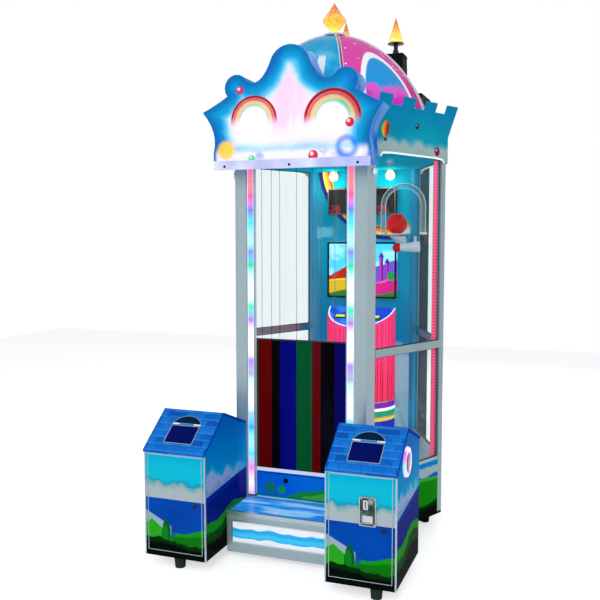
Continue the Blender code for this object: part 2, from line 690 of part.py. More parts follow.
def coin_parts(door):
    """Coin entry on the right-hand door: face plate, mechanism, reject button and return flap."""
    x0, x1, z0, z1 = PLATE_X0, PLATE_X1, PLATE_Z0, PLATE_Z1
    front = KIOSK_FRONT
    cut(door, box("door_coin_hole", (x0 + 0.008, front - 0.05, z0 + 0.008),
                  (x1 - 0.008, front + 0.05, z1 - 0.008), cutter=True))
    plate = box("coin_plate", (x0, front - 0.004, z0), (x1, front - GAP, z1), "dark_metal")
    mech = box("coin_mech", (x0 + 0.009, front + GAP, z0 + 0.009), (x1 - 0.009, front + 0.085, z1 - 0.009),
               "grey")
    cup = (x0 + 0.016, x1 - 0.016, z0 + 0.016, z0 + 0.043)
    slot = box("coin_slot", (0.4535, front - 0.05, 0.395), (0.4567, front + 0.02, 0.423), cutter=True)
    cup_hole = box("cup_hole", (cup[0], front - 0.05, cup[2]), (cup[1], front + 0.035, cup[3]), cutter=True)
    button_x, button_z = 0.475, 0.423
    bore = round_bar("reject_hole", 0.0095, (button_x, front - 0.05, button_z),
                     (button_x, front + 0.014, button_z), cutter=True, sides=16)
    cut(plate, slot, cup_hole, bore)
    cut(mech, slot, cup_hole, bore)
    round_bar("coin_reject_button", 0.0088, (button_x, front - REJECT_FRONT, button_z),
              (button_x, front + 0.008, button_z), "dark_metal", sides=16)
    box("coin_return_flap", (cup[0] + 0.0008, front - 0.0035, cup[2] + 0.0008),
        (cup[1] - 0.0008, front - 0.0015, cup[3] - 0.0015), "dark_metal",
        origin=((x0 + x1) / 2, front - 0.0025, cup[3] - 0.0025))
    box_low = KIOSK_BOTTOM + SHEET + 3 * GAP
    money = box("cash_box", (0.36, -0.42, box_low), (0.50, -0.20, 0.20), "dark_metal")
    cut(money, box("cash_box_hollow", (0.363, -0.417, box_low + 0.003), (0.497, -0.203, 0.3), cutter=True))


def kiosks():
    pair("kiosk_body", "sky_blue", kiosk_body)
    pair("kiosk_roof", "roof_blue", kiosk_roof)
    kiosk_base("left")
    kiosk_base("right")
    pair("button_ring", "pink", button_ring)
    pair("button_cap", "red", button_cap)
    kiosk_door("left")
    coin_parts(kiosk_door("right"))


# Inside the cabinet
def console():
    """Half-round lit desk against the back wall, open underneath, with a top that rises to the rear."""
    rear = BACK_WALL_Y - GAP
    plan = arc((0, rear), CONSOLE_RADIUS, 180, 360, 20)
    body = prism("console", [plan], DECK_TOP, 1.2, "pink")
    core = arc((0, rear - SHEET), CONSOLE_RADIUS - SHEET, 180, 360, 20)
    hollow = prism("console_hollow", [core], 0.3, 0.94, cutter=True)
    slope = [(0.5, 0.787), (1.3, 1.178), (1.3, 1.5), (0.5, 1.5)]
    above = profile_bar("console_slope", [slope], -0.5, 0.5, cutter=True)
    cut(body, hollow, above)


def displays():
    rear = BACK_WALL_Y - GAP
    soften(box("scoreboard", (-0.21, rear - 0.04, 1.634), (0.21, rear, 1.794), "black"), 0.003)
    soften(box("picture_panel", (-0.215, rear - 0.025, 1.136), (0.215, rear, 1.474), "wall_blue"), 0.004)


def ball_arch(name):
    """Clear hoop standing on a small shelf that is bracketed to the back wall."""
    spring = SHELF_Z + 0.154
    points = [(ARCH_X + ARCH_RADIUS, ARCH_Y, SHELF_Z - 0.006)]
    points += [(x, ARCH_Y, z) for x, z in arc((ARCH_X, spring), ARCH_RADIUS, 0, 180, 12)]
    points += [(ARCH_X - ARCH_RADIUS, ARCH_Y, SHELF_Z - 0.006)]
    hoop = tube(name, points, 0.014, "glass")
    shelf = box(name + "_shelf", (0.19, ARCH_Y - 0.06, SHELF_Z - 0.010), (0.44, ARCH_Y + 0.035, SHELF_Z),
                cutter=True)
    strut = box(name + "_strut", (0.24, ARCH_Y, SHELF_Z - 0.0098),
                (0.27, BACK_WALL_Y - GAP, SHELF_Z - 0.0008), cutter=True)
    return join(hoop, shelf, strut)


def ball(name):
    bm = bmesh.new()
    bmesh.ops.create_uvsphere(bm, u_segments=24, v_segments=12, radius=BALL_RADIUS)
    mesh = bpy.data.meshes.new(name)
    bm.to_mesh(mesh)
    bm.free()
    place = Matrix.Translation((BALL_X, ARCH_Y, SHELF_Z + BALL_RADIUS + GAP))
    return smooth(add_object(name, mesh, "red", place))


def ball_chute(name):
    """Open clear channel that brings a ball down from beside the desk to the side pane."""
    start, end = Vector((0.28, 0.98, 0.60)), Vector((0.43, 0.66, 0.43))
    length, half, wall = (end - start).length, 0.065, 0.004
    along = (end - start).normalized()
    across = Vector((0, 0, 1)).cross(along).normalized()
    frame = Matrix((along, across, along.cross(across))).transposed().to_4x4()
    chute = box(name, (0, -half, 0), (length, half, 0.05), "glass", origin=(0, 0, 0))
    hollow = box(name + "_hollow", (-0.1, wall - half, wall), (length + 0.1, half - wall, 0.1), cutter=True,
                 origin=(0, 0, 0))
    for obj in (chute, hollow):
        obj.matrix_world = Matrix.Translation(start) @ frame
    return cut(chute, hollow)


def interior():
    console()
    displays()
    ball_arch("ball_arch")
    ball("ball")
    pair("ball_chute", "glass", ball_chute)


def centre_on_footprint():
    """Moves every piece and cutter so that the origin is the centre of the footprint."""
    for obj in bpy.data.objects:
        obj.location.y -= PLAN_CENTRE_Y


clear_scene()
PARTS = new_collection("castle_ball_game")
CUTTERS = new_collection("cutters")
base_tray()
cabinet_deck()
posts()
pair("side_frame", "aluminium", side_frame)
panes()
front_wall()
back_wall()
rear_housing()
roof_deck()
pair("crown", "sky_blue", crown)
dome()
pair("turret", "black", turret)
pair("turret_cone", "amber", turret_cone)
marquee()
step()
kiosks()
interior()
centre_on_footprint()
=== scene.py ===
"""Looks of the castle ball game: printed boards, lit plastics, glass, trims and fittings on the CAD frame.

Every mesh is written in the frame's own metres, so its object sits at the origin, and a material's object
coordinates are the same x, y, z as the CAD's. A printed colour is written as 0xRRGGBB.
"""
import math

import bmesh
import bpy
import numpy as np
from mathutils import Matrix, Vector


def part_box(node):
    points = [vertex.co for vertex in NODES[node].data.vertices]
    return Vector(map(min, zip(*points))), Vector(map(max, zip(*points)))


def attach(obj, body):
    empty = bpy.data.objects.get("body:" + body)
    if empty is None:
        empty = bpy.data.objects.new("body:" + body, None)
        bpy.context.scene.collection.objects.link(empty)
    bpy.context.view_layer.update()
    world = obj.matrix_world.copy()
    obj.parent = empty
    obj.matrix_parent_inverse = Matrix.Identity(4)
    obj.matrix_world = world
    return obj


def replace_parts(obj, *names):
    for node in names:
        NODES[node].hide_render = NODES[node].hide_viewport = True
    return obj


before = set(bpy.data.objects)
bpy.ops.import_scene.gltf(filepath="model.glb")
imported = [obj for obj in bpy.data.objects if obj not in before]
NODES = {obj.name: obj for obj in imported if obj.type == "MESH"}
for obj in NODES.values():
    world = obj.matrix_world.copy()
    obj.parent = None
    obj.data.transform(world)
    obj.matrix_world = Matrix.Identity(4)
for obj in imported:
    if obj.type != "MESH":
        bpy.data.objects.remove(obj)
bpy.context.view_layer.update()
SIDES = ("left", "right")
X, Y, Z = Vector((1, 0, 0)), Vector((0, 1, 0)), Vector((0, 0, 1))

# Places read from the frame
FACE_LOW, FACE_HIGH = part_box("marquee_face")
POST_LOW, POST_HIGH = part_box("front_post_right")
TRAY_LOW, TRAY_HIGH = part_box("base_tray")
DECK_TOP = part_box("cabinet_deck")[1].z
DOME_LOW, DOME_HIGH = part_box("dome_shell")
STEP_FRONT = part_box("step_frame")[0].y
TREAD_LOW, TREAD_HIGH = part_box("step_tread")
PANEL_LOW, PANEL_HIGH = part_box("striped_panel")
CHANNEL_LOW, CHANNEL_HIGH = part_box("led_channel_right")
FRONT_Y, REAR_Y = POST_LOW.y, TRAY_HIGH.y
WALL_DEPTH = 0.565
MID_Y = FRONT_Y + WALL_DEPTH
DOME_CENTRE = Vector((0, (DOME_LOW.y + DOME_HIGH.y) / 2, 0))
DOME_RADIUS = (DOME_HIGH.x - DOME_LOW.x) / 2
DOME_SPRING, DOME_TOP, DOME_POWER = 2.0, DOME_HIGH.z, 2 / 1.75
DOME_TURN, GORES = 7, 6
SKIN = 0.0001  # how deep a fitting is sunk into the surface that it sits on


# Colours
def linear(channel):
    value = channel / 255
    return value / 12.92 if value <= 0.04045 else ((value + 0.055) / 1.055) ** 2.4


def rgb(code, share=1.0):
    """The colour that a code names, darkened to a share of its light."""
    return tuple(linear(code >> shift & 255) * share for shift in (16, 8, 0)) + (1.0,)


WHITE = 0xFAFAFA


# Procedural materials
def operator(function):
    """A method that adds one Math node to the field's material."""
    return lambda field, other=None: field.paint.math(function, field, other)


class Field:
    """A number that varies over a surface. Arithmetic on it adds Math nodes to its material."""

    def __init__(self, paint, socket):
        self.paint, self.socket = paint, socket

    __add__ = __radd__ = operator("ADD")
    __mul__ = __rmul__ = operator("MULTIPLY")
    __sub__, __truediv__, __mod__ = operator("SUBTRACT"), operator("DIVIDE"), operator("FLOORED_MODULO")
    __abs__, root, floor, sine = (operator(name) for name in ("ABSOLUTE", "SQRT", "FLOOR", "SINE"))
    power, least, most, turn = (operator(name) for name in ("POWER", "MINIMUM", "MAXIMUM", "ARCTAN2"))

    def __rsub__(self, other):
        return self.paint.math("SUBTRACT", other, self)

    def rise(self, edge, blur=0.001):
        """0 below the edge and 1 above it."""
        return self.paint.step(self - edge, -blur, blur)

    def fall(self, edge, blur=0.001):
        """1 below the edge and 0 above it."""
        return self.paint.step(self - edge, blur, -blur)

    def band(self, low, high, blur=0.001):
        return self.rise(low, blur) * self.fall(high, blur)

    def stripe(self):
        """Distance from the middle of the nearest whole unit, from 0 to 0.5."""
        return abs(self % 1 - 0.5)


class Paint:
    """One procedural material, p for short. Its colour is built up in layers, each laid on through a mask."""

    def __init__(self, name, colour, roughness=0.4, metallic=0.0):
        self.material = bpy.data.materials.new(name)
        self.material.use_nodes = True
        self.tree = self.material.node_tree
        self.shader = self.tree.nodes["Principled BSDF"]
        self.roughness = roughness
        self.shader.inputs["Roughness"].default_value = roughness
        self.shader.inputs["Metallic"].default_value = metallic
        self.shader.inputs["Specular IOR Level"].default_value = 0.0 if metallic < 0.1 else 0.5
        self.point = self.add("ShaderNodeTexCoord").outputs["Object"]
        axes = self.add("ShaderNodeSeparateXYZ", Vector=self.point)
        self.x, self.y, self.z = (Field(self, axes.outputs[axis]) for axis in "XYZ")
        self.colour = colour

    def put(self, socket, value):
        """Gives a socket a field, another socket, a colour code or a plain value."""
        if isinstance(value, Field):
            value = value.socket
        if isinstance(value, bpy.types.NodeSocket):
            self.tree.links.new(value, socket)
        elif socket.type == "RGBA" and isinstance(value, int):
            socket.default_value = rgb(value)
        else:
            socket.default_value = value

    def add(self, kind, **inputs):
        node = self.tree.nodes.new(kind)
        for name, value in inputs.items():
            self.put(node.inputs[name], value)
        return node

    def mix(self, kind, *values):
        """A mixing node, with its factor, first and second value."""
        node = self.tree.nodes.new(kind)
        for socket, value in zip(node.inputs, values):
            self.put(socket, value)
        return node

    def math(self, operation, first, second=None):
        node = self.tree.nodes.new("ShaderNodeMath")
        node.operation = operation
        self.put(node.inputs[0], first)
        if second is not None:
            self.put(node.inputs[1], second)
        return Field(self, node.outputs[0])

    def step(self, field, low, high):
        """A smooth change from 0 at low to 1 at high."""
        node = self.add("ShaderNodeMapRange", Value=field)
        node.interpolation_type = "SMOOTHSTEP"
        ends = ((low, 0.0), (high, 1.0)) if low <= high else ((high, 1.0), (low, 0.0))
        for end, (place, value) in zip(("Min", "Max"), ends):
            node.inputs[f"From {end}"].default_value = place
            node.inputs[f"To {end}"].default_value = value
        return Field(self, node.outputs["Result"])

    def noise(self, scale, detail=2.0, stretch=(1, 1, 1), roughness=0.5):
        """Noise from about 0 to 1, centred on 0.5."""
        place = self.mix("ShaderNodeVectorMath", self.point, stretch)
        place.operation = "MULTIPLY"
        node = self.add("ShaderNodeTexNoise", Vector=place.outputs[0], Scale=scale, Detail=detail,
                        Roughness=roughness)
        return Field(self, node.outputs[0])

    def wobble(self, scale, detail, width, *shape):
        """Noise about 0, with a width."""
        return (self.noise(scale, detail, *shape) - 0.5) * width

    def cells(self, scale):
        node = self.add("ShaderNodeTexVoronoi", Vector=self.point, Scale=scale)
        return Field(self, node.outputs["Distance"])

    def attribute(self, name):
        node = self.tree.nodes.new("ShaderNodeAttribute")
        node.attribute_name = name
        return Field(self, node.outputs["Fac"])

    def normal(self, axis):
        node = self.add("ShaderNodeSeparateXYZ", Vector=self.add("ShaderNodeTexCoord").outputs["Normal"])
        return Field(self, node.outputs[axis])

    def reach(self, u, v, centre=None):
        """Distance in the u, v plane from a centre, or from 0, 0."""
        if centre:
            u, v = u - centre[0], v - centre[1]
        return (u * u + v * v).root()

    def lay(self, colour, mask):
        node = self.tree.nodes.new("ShaderNodeMix")
        node.data_type = "RGBA"
        for socket, value in ((0, mask), (6, self.colour), (7, colour)):
            self.put(node.inputs[socket], value)
        self.colour = node.outputs[2]
        return self

    def ramp(self, field, stops):
        """Colours along a field that runs from 0 to 1."""
        node = self.add("ShaderNodeValToRGB", Fac=field)
        elements = node.color_ramp.elements
        while len(elements) < len(stops):
            elements.new(1.0)
        for element, (place, colour) in zip(elements, stops):
            element.position, element.color = place, rgb(colour)
        return node.outputs["Color"]

    def grain(self, field, depth, wear):
        """A field, or fine noise of that scale, as a bump in metres and as a change in roughness."""
        if not isinstance(field, Field):
            field = self.noise(field, 2)
        bump = self.add("ShaderNodeBump", Height=field, Distance=depth)
        self.tree.links.new(bump.outputs["Normal"], self.shader.inputs["Normal"])
        self.put(self.shader.inputs["Roughness"], field * wear + (self.roughness - wear / 2))
        return self

    def done(self, glow=None, coat=0.0):
        self.put(self.shader.inputs["Base Color"], self.colour)
        self.shader.inputs["Coat Weight"].default_value = coat
        if glow is not None:
            self.put(self.shader.inputs["Emission Color"], self.colour)
            self.put(self.shader.inputs["Emission Strength"], glow)
        return self.material


PRINT_GRAIN = (500, 0.00003, 0.05)


def metal(name, colour, roughness, metallic, stretch=(1, 1, 1)):
    """Satin metal with a fine brushed grain and faint uneven tone."""
    p = Paint(name, colour, roughness, metallic)
    p.lay(rgb(colour, 0.8), p.noise(7, 3) * 0.5)
    return p.grain(p.noise(900, 3, stretch, 0.6), 0.0002, 0.14).done()


def moulded(name, colour, roughness, glow=None, coat=0.0, texture=380):
    """Moulded plastic with a fine leathery surface and a slight change of tone."""
    p = Paint(name, colour, roughness)
    p.lay(rgb(colour, 0.7), p.noise(5) * 0.45)
    return p.grain(texture, 0.00015, 0.1).done(glow, coat)


def clear(name, tint, streaks=0.0, mirror=0.004):
    """Clear sheet: mostly see-through, mirroring more at a slant, with faint streaks and dust."""
    p = Paint(name, WHITE)
    p.tree.nodes.remove(p.shader)
    slant = Field(p, p.add("ShaderNodeLayerWeight", Blend=0.5).outputs["Facing"])
    through = p.add("ShaderNodeBsdfTransparent", Color=tint).outputs[0]
    gloss = p.add("ShaderNodeBsdfGlossy", Color=WHITE, Roughness=0.03).outputs[0]
    result = p.mix("ShaderNodeMixShader", slant.power(5.0) * 0.2 + mirror, through, gloss).outputs[0]
    if streaks:
        dust = p.add("ShaderNodeBsdfDiffuse", Color=0xCDD8DC).outputs[0]
        film = p.noise(9, 3, (1, 1, 0.07)).rise(0.62, 0.12) * streaks
        result = p.mix("ShaderNodeMixShader", film, result, dust).outputs[0]
    p.tree.links.new(result, p.tree.nodes["Material Output"].inputs["Surface"])
    return p.material


# Outlines, as lists of two coordinates
def arc(centre, radius, start, end, count):
    angles = [math.radians(start + (end - start) * i / count) for i in range(count + 1)]
    return [(centre[0] + radius * math.cos(a), centre[1] + radius * math.sin(a)) for a in angles]


def rounded(u0, u1, v0, v1, radius, count):
    """A rectangle with round corners, counter-clockwise."""
    corners = ((u1 - radius, v0 + radius, -90), (u1 - radius, v1 - radius, 0),
               (u0 + radius, v1 - radius, 90), (u0 + radius, v0 + radius, 180))
    return [p for u, v, turn in corners for p in arc((u, v), radius, turn, turn + 90, count)]


def rim(u0, u1, v0, v1, width, outer, inner, count):
    """A round-cornered rectangle and the hole a width inside it, with the radii of their corners."""
    return (rounded(u0, u1, v0, v1, outer, count),
            rounded(u0 + width, u1 - width, v0 + width, v1 - width, inner, count))


def square_rim(u, v, half, width, outer, inner, count):
    return rim(u - half, u + half, v - half, v + half, width, outer, inner, count)


def front_of(box, inset):
    """A box's sides seen from the front, brought in."""
    return box[0].x + inset, box[1].x - inset, box[0].z + inset, box[1].z - inset


def half_circle(radius, count):
    """A ball's profile from its top to its foot."""
    angles = [math.pi * i / count for i in range(1, count)]
    return [(0, radius), *[(radius * math.sin(a), radius * math.cos(a)) for a in angles], (0, -radius)]


def grow(outline, distance):
    """A counter-clockwise outline moved outwards by a distance, corner by corner."""
    moved = []
    for i, point in enumerate(outline):
        here, before = Vector(point), Vector(outline[i - 1])
        after = Vector(outline[(i + 1) % len(outline)])
        if min((here - before).length, (after - here).length) < 1e-7:
            moved.append(tuple(here))
            continue
        first, second = (here - before).normalized(), (after - here).normalized()
        normals = Vector((first.y, -first.x)), Vector((second.y, -second.x))
        moved.append(tuple(here + (normals[0] + normals[1]) * distance / (1 + normals[0].dot(normals[1]))))
    return moved


# Shapes, as points and faces in the frame's metres
def facing(place, axis):
    """The turn and move that take the origin and its z axis to a place and an axis."""
    return Matrix.Translation(Vector(place)) @ Z.rotation_difference(Vector(axis)).to_matrix().to_4x4()


def lathe(profile, place, axis=Z, steps=48):
    """A profile of (radius, height) turned about an axis. It starts and ends on the axis, or closes."""
    turn = facing(place, axis)
    points, rings = [], []
    for radius, height in profile:
        if radius < 1e-7:
            rings.append([len(points)])
            points.append(turn @ Vector((0, 0, height)))
            continue
        rings.append(list(range(len(points), len(points) + steps)))
        for i in range(steps):
            angle = 2 * math.pi * i / steps
            points.append(turn @ Vector((radius * math.cos(angle), radius * math.sin(angle), height)))
    pairs = list(zip(rings, rings[1:]))
    if len(rings[0]) > 1 and len(rings[-1]) > 1:
        pairs.append((rings[-1], rings[0]))
    faces = []
    for first, second in pairs:
        for i in range(steps):
            corners = [first[i % len(first)], first[(i + 1) % len(first)],
                       second[(i + 1) % len(second)], second[i % len(second)]]
            faces.append([c for n, c in enumerate(corners) if c not in corners[:n]])
    return points, faces


def block(low, high):
    """A box between two corners."""
    points = [Vector((x, y, z)) for x in (low[0], high[0]) for y in (low[1], high[1])
              for z in (low[2], high[2])]
    return points, [[0, 1, 3, 2], [4, 6, 7, 5], [0, 4, 5, 1], [2, 3, 7, 6], [0, 2, 6, 4], [1, 5, 7, 3]]


def slab(outline, place, along, up, thickness):
    """An outline, or an outline and its hole, as a plate that grows to the side along x up points to."""
    loops = outline if isinstance(outline, tuple) else (outline,)
    assert len(loops[0]) == len(loops[-1]), "a hole needs as many points as its outline"
    place, along, up = Vector(place), Vector(along).normalized(), Vector(up).normalized()
    out = along.cross(up)
    points = [place + along * u + up * v + out * lift for lift in (0, thickness) for loop in loops
              for u, v in loop]
    size, count = len(loops[0]), len(points) // 2
    faces = []
    for start in range(0, count, size):
        for i in range(size):
            a, b = start + i, start + (i + 1) % size
            faces.append([a, b, b + count, a + count])
    for lift in (0, count):
        if len(loops) == 1:
            faces.append(list(range(lift, lift + count)))
            continue
        for i in range(size):
            j = (i + 1) % size
            faces.append([lift + i, lift + j, lift + size + j, lift + size + i])
    return points, faces


def upright(outline, y, thickness):
    """A plate in x and z that grows forwards from y."""
    return slab(outline, (0, y, 0), X, Z, thickness)


def flat(outline, z, thickness):
    """A plate in x and y that grows upwards from z."""
    return slab(outline, (0, 0, z), X, Y, thickness)


def bar(x0, x1, outline):
    """A plate in y and z that grows from one x to another."""
    return slab(outline, (x0, 0, 0), Y, Z, x1 - x0)


def swept(rings):
    """A skin over rings of points, closed at both ends."""
    size = len(rings[0])
    faces = [[a, b, b + size, a + size] for start in range(0, (len(rings) - 1) * size, size)
             for a, b in ((start + k, start + (k + 1) % size) for k in range(size))]
    last = (len(rings) - 1) * size
    return sum(rings, []), faces + [list(range(size)), list(range(last, last + size))]


def tube(path, radius, sides=12):
    """A round tube along points, closed at its ends."""
    path = [Vector(p) for p in path]
    rings, across = [], None
    for i, place in enumerate(path):
        along = (path[min(i + 1, len(path) - 1)] - path[max(i - 1, 0)]).normalized()
        if across is None:
            across = along.orthogonal().normalized()
        across = (across - along * across.dot(along)).normalized()
        other = along.cross(across)
        circle = arc((0, 0), 1, 0, 360, sides)[:-1]
        rings.append([place + (across * u + other * v) * radius for u, v in circle])
    return swept(rings)


def joined(shapes):
    points, faces = [], []
    for more_points, more_faces in shapes:
        faces += [[i + len(points) for i in face] for face in more_faces]
        points += more_points
    return points, faces


def both(*shapes):
    """Each shape, followed by its mirror image on the other side of x = 0."""
    return [twin for points, faces in shapes
            for twin in ((points, faces), ([Vector((-x, y, z)) for x, y, z in points], faces))]


def piece(name, shape, material, slot=None, body="cabinet", bevel=0.0, sharp=35):
    """A shape, or a list of shapes, as an object that rides on a body, with its sharp edges rounded."""
    points, faces = joined(shape) if isinstance(shape, list) else shape
    mesh = bpy.data.meshes.new(name)
    mesh.from_pydata([tuple(p) for p in points], [], faces)
    bm = bmesh.new()
    bm.from_mesh(mesh)
    bmesh.ops.recalc_face_normals(bm, faces=bm.faces)
    if bevel:
        edges = [e for e in bm.edges if len(e.link_faces) == 2 and e.calc_face_angle() > math.radians(30)]
        bmesh.ops.bevel(bm, geom=edges, offset=bevel, segments=2, affect="EDGES", clamp_overlap=True)
    bm.to_mesh(mesh)
    bm.free()
    mesh.shade_smooth()
    mesh.set_sharp_from_angle(angle=math.radians(sharp))
    mesh.materials.append(material)
    obj = bpy.data.objects.new(name, mesh)
    bpy.context.scene.collection.objects.link(obj)
    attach(obj, body)
    return obj


def finish_nodes(material, *names):
    """CAD nodes keep their shapes and get their real finish."""
    for name in names:
        for place in NODES[name].material_slots:
            place.material = material


# Camera, light and stage
def camera():
    data = bpy.data.cameras.new("camera")
    data.lens, data.sensor_width = 47.45, 36
    data.clip_end = 60
    obj = bpy.data.objects.new("camera", data)
    obj.location = (1.294, -3.9755, 1.4938)
    obj.rotation_euler = (math.radians(85.55), 0, math.radians(20.23))
    bpy.context.scene.collection.objects.link(obj)
    bpy.context.scene.camera = obj


def lamp(name, place, energy, size, aim_height=None, colour=(1, 1, 1)):
    """A square lamp aimed at a height on the object's axis, or a round lamp that shines all round."""
    data = bpy.data.lights.new(name, "POINT" if aim_height is None else "AREA")
    data.energy, data.color = energy, colour
    obj = bpy.data.objects.new(name, data)
    obj.location = place
    if aim_height is None:
        data.shadow_soft_size = size
    else:
        data.size = size
        obj.rotation_euler = (Vector((0, 0, aim_height)) - Vector(place)).to_track_quat("-Z", "Y").to_euler()
    obj.visible_camera = obj.visible_glossy = obj.visible_transmission = False
    bpy.context.scene.collection.objects.link(obj)


def lights():
    lamp("key", (0.4, -5.2, 3.6), 120, 2.6, 1.2)
    lamp("fill", (-4.2, -2.6, 2.6), 38, 3.2, 1.2)
    lamp("side", (4.4, -1.6, 2.8), 42, 3.2, 1.2)
    lamp("rear", (0.5, 4.4, 3.4), 75, 3.0, 1.5)
    for side in (-1, 1):
        lamp(f"inside_{side}", (side * 0.172, MID_Y + 0.44, 1.82), 1.6, 0.04, colour=(1, 0.84, 0.55))
    lamp("inside_sky", (0, MID_Y - 0.05, 1.78), 2.6, 0.12, colour=(0.86, 0.95, 1))
    lamp("inside_pink", (0.16, MID_Y + 0.18, 0.62), 0.7, 0.08, colour=(1, 0.25, 0.45))


def white_to_sight(tree, shader, background, output):
    """Shows a plain white to the camera, mirrors and glass, and the shader itself to everything else."""
    rays = tree.nodes.new("ShaderNodeLightPath")
    seen = rays.outputs["Is Camera Ray"]
    for kind in ("Is Transmission Ray", "Is Glossy Ray"):
        either = tree.nodes.new("ShaderNodeMath")
        either.operation = "MAXIMUM"
        tree.links.new(seen, either.inputs[0])
        tree.links.new(rays.outputs[kind], either.inputs[1])
        seen = either.outputs[0]
    mix = tree.nodes.new("ShaderNodeMixShader")
    for socket, source in zip(mix.inputs, (seen, shader.outputs[0], background.outputs[0])):
        tree.links.new(source, socket)
    tree.links.new(mix.outputs[0], tree.nodes[output].inputs["Surface"])


def stage():
    world = bpy.data.worlds.new("studio")
    bpy.context.scene.world = world
    world.use_nodes = True
    tree = world.node_tree
    soft = tree.nodes["Background"]
    soft.inputs["Color"].default_value = (0.93, 0.96, 1, 1)
    soft.inputs["Strength"].default_value = 0.34
    plain = tree.nodes.new("ShaderNodeBackground")
    plain.inputs["Color"].default_value = (1, 1, 1, 1)
    white_to_sight(tree, soft, plain, "World Output")

    bpy.ops.mesh.primitive_plane_add(size=14)
    floor = bpy.context.object
    floor.name = "floor"
    material = bpy.data.materials.new("floor")
    material.use_nodes = True
    tree = material.node_tree
    matte = tree.nodes["Principled BSDF"]
    matte.inputs["Base Color"].default_value = (0.8, 0.8, 0.8, 1)
    matte.inputs["Roughness"].default_value = 0.9
    glow, lit = tree.nodes.new("ShaderNodeEmission"), tree.nodes.new("ShaderNodeAddShader")
    glow.inputs["Strength"].default_value = 0.62
    tree.links.new(matte.outputs[0], lit.inputs[0])
    tree.links.new(glow.outputs[0], lit.inputs[1])
    white_to_sight(tree, matte, lit, "Material Output")
    floor.data.materials.append(material)


# Shared finishes
ALUMINIUM = metal("aluminium", 0xA6BAC0, 0.38, 0.4, (1, 1, 0.02))
BRIGHT = metal("bright_trim", 0xB0C2CC, 0.26, 0.7)
STEEL = metal("steel", 0xBEC2C6, 0.18, 1.0)
DARK_METAL = metal("dark_metal", 0x1E2C2E, 0.34, 0.6)
BLACK_PLASTIC = moulded("black_plastic", 0x101114, 0.42)
GREY_PLASTIC = moulded("grey_plastic", 0x5C6064, 0.5)
RUBBER = moulded("foot_rubber", 0x34423E, 0.6, texture=520)
GLASS = clear("clear_sheet", 0xFAFDFD, 0.02)


# Small fittings
def screw_head(place, axis, radius, height):
    """A domed head with a round socket."""
    shares = ((0, 0.35), (0.42, 0.35), (0.46, 1), (0.8, 0.8), (1, 0.3), (1, 0), (0, 0))
    return lathe([(radius * r, height * h) for r, h in shares], place, axis, 12)


def screws(name, places, axis, radius, height, *finish):
    piece(name, [screw_head(place, axis, radius, height) for place in places], *finish)


def key_lock(name, place, axis, radius, rim_finish, core_finish, body):
    """The face of a cam lock, as two pieces: a rim, and a barrel with a raised key slot."""
    ring = lathe([(radius * 0.72, 0), (radius * 0.72, 0.0022), (radius * 0.86, 0.003), (radius, 0.0018),
                  (radius, 0)], place, axis, 28)
    barrel = lathe([(0, 0.0016), (radius * 0.6, 0.0016), (radius * 0.66, 0.001), (radius * 0.66, 0), (0, 0)],
                   place, axis, 28)
    points, faces = block((-0.0009, -0.0046, 0.0012), (0.0009, 0.0046, 0.0022))
    turn = facing(place, axis)
    piece(name.format("rim"), [ring, barrel], rim_finish, body=body)
    piece(name.format("core"), ([turn @ point for point in points], faces), core_finish, "dark_metal", body)


# Sign
SIGN_GRID = 0.008


def edge_distance(points, outline):
    """Distance in x and z from each point to the outline's nearest side."""
    points, ends = np.array(points), np.array(outline)
    best = np.full(len(points), 1e9)
    for a, b in zip(ends, np.roll(ends, -1, axis=0)):
        side = b - a
        share = np.clip(((points - a) @ side) / max(side @ side, 1e-12), 0, 1)
        best = np.minimum(best, np.linalg.norm(points - a - share[:, None] * side, axis=1))
    return best


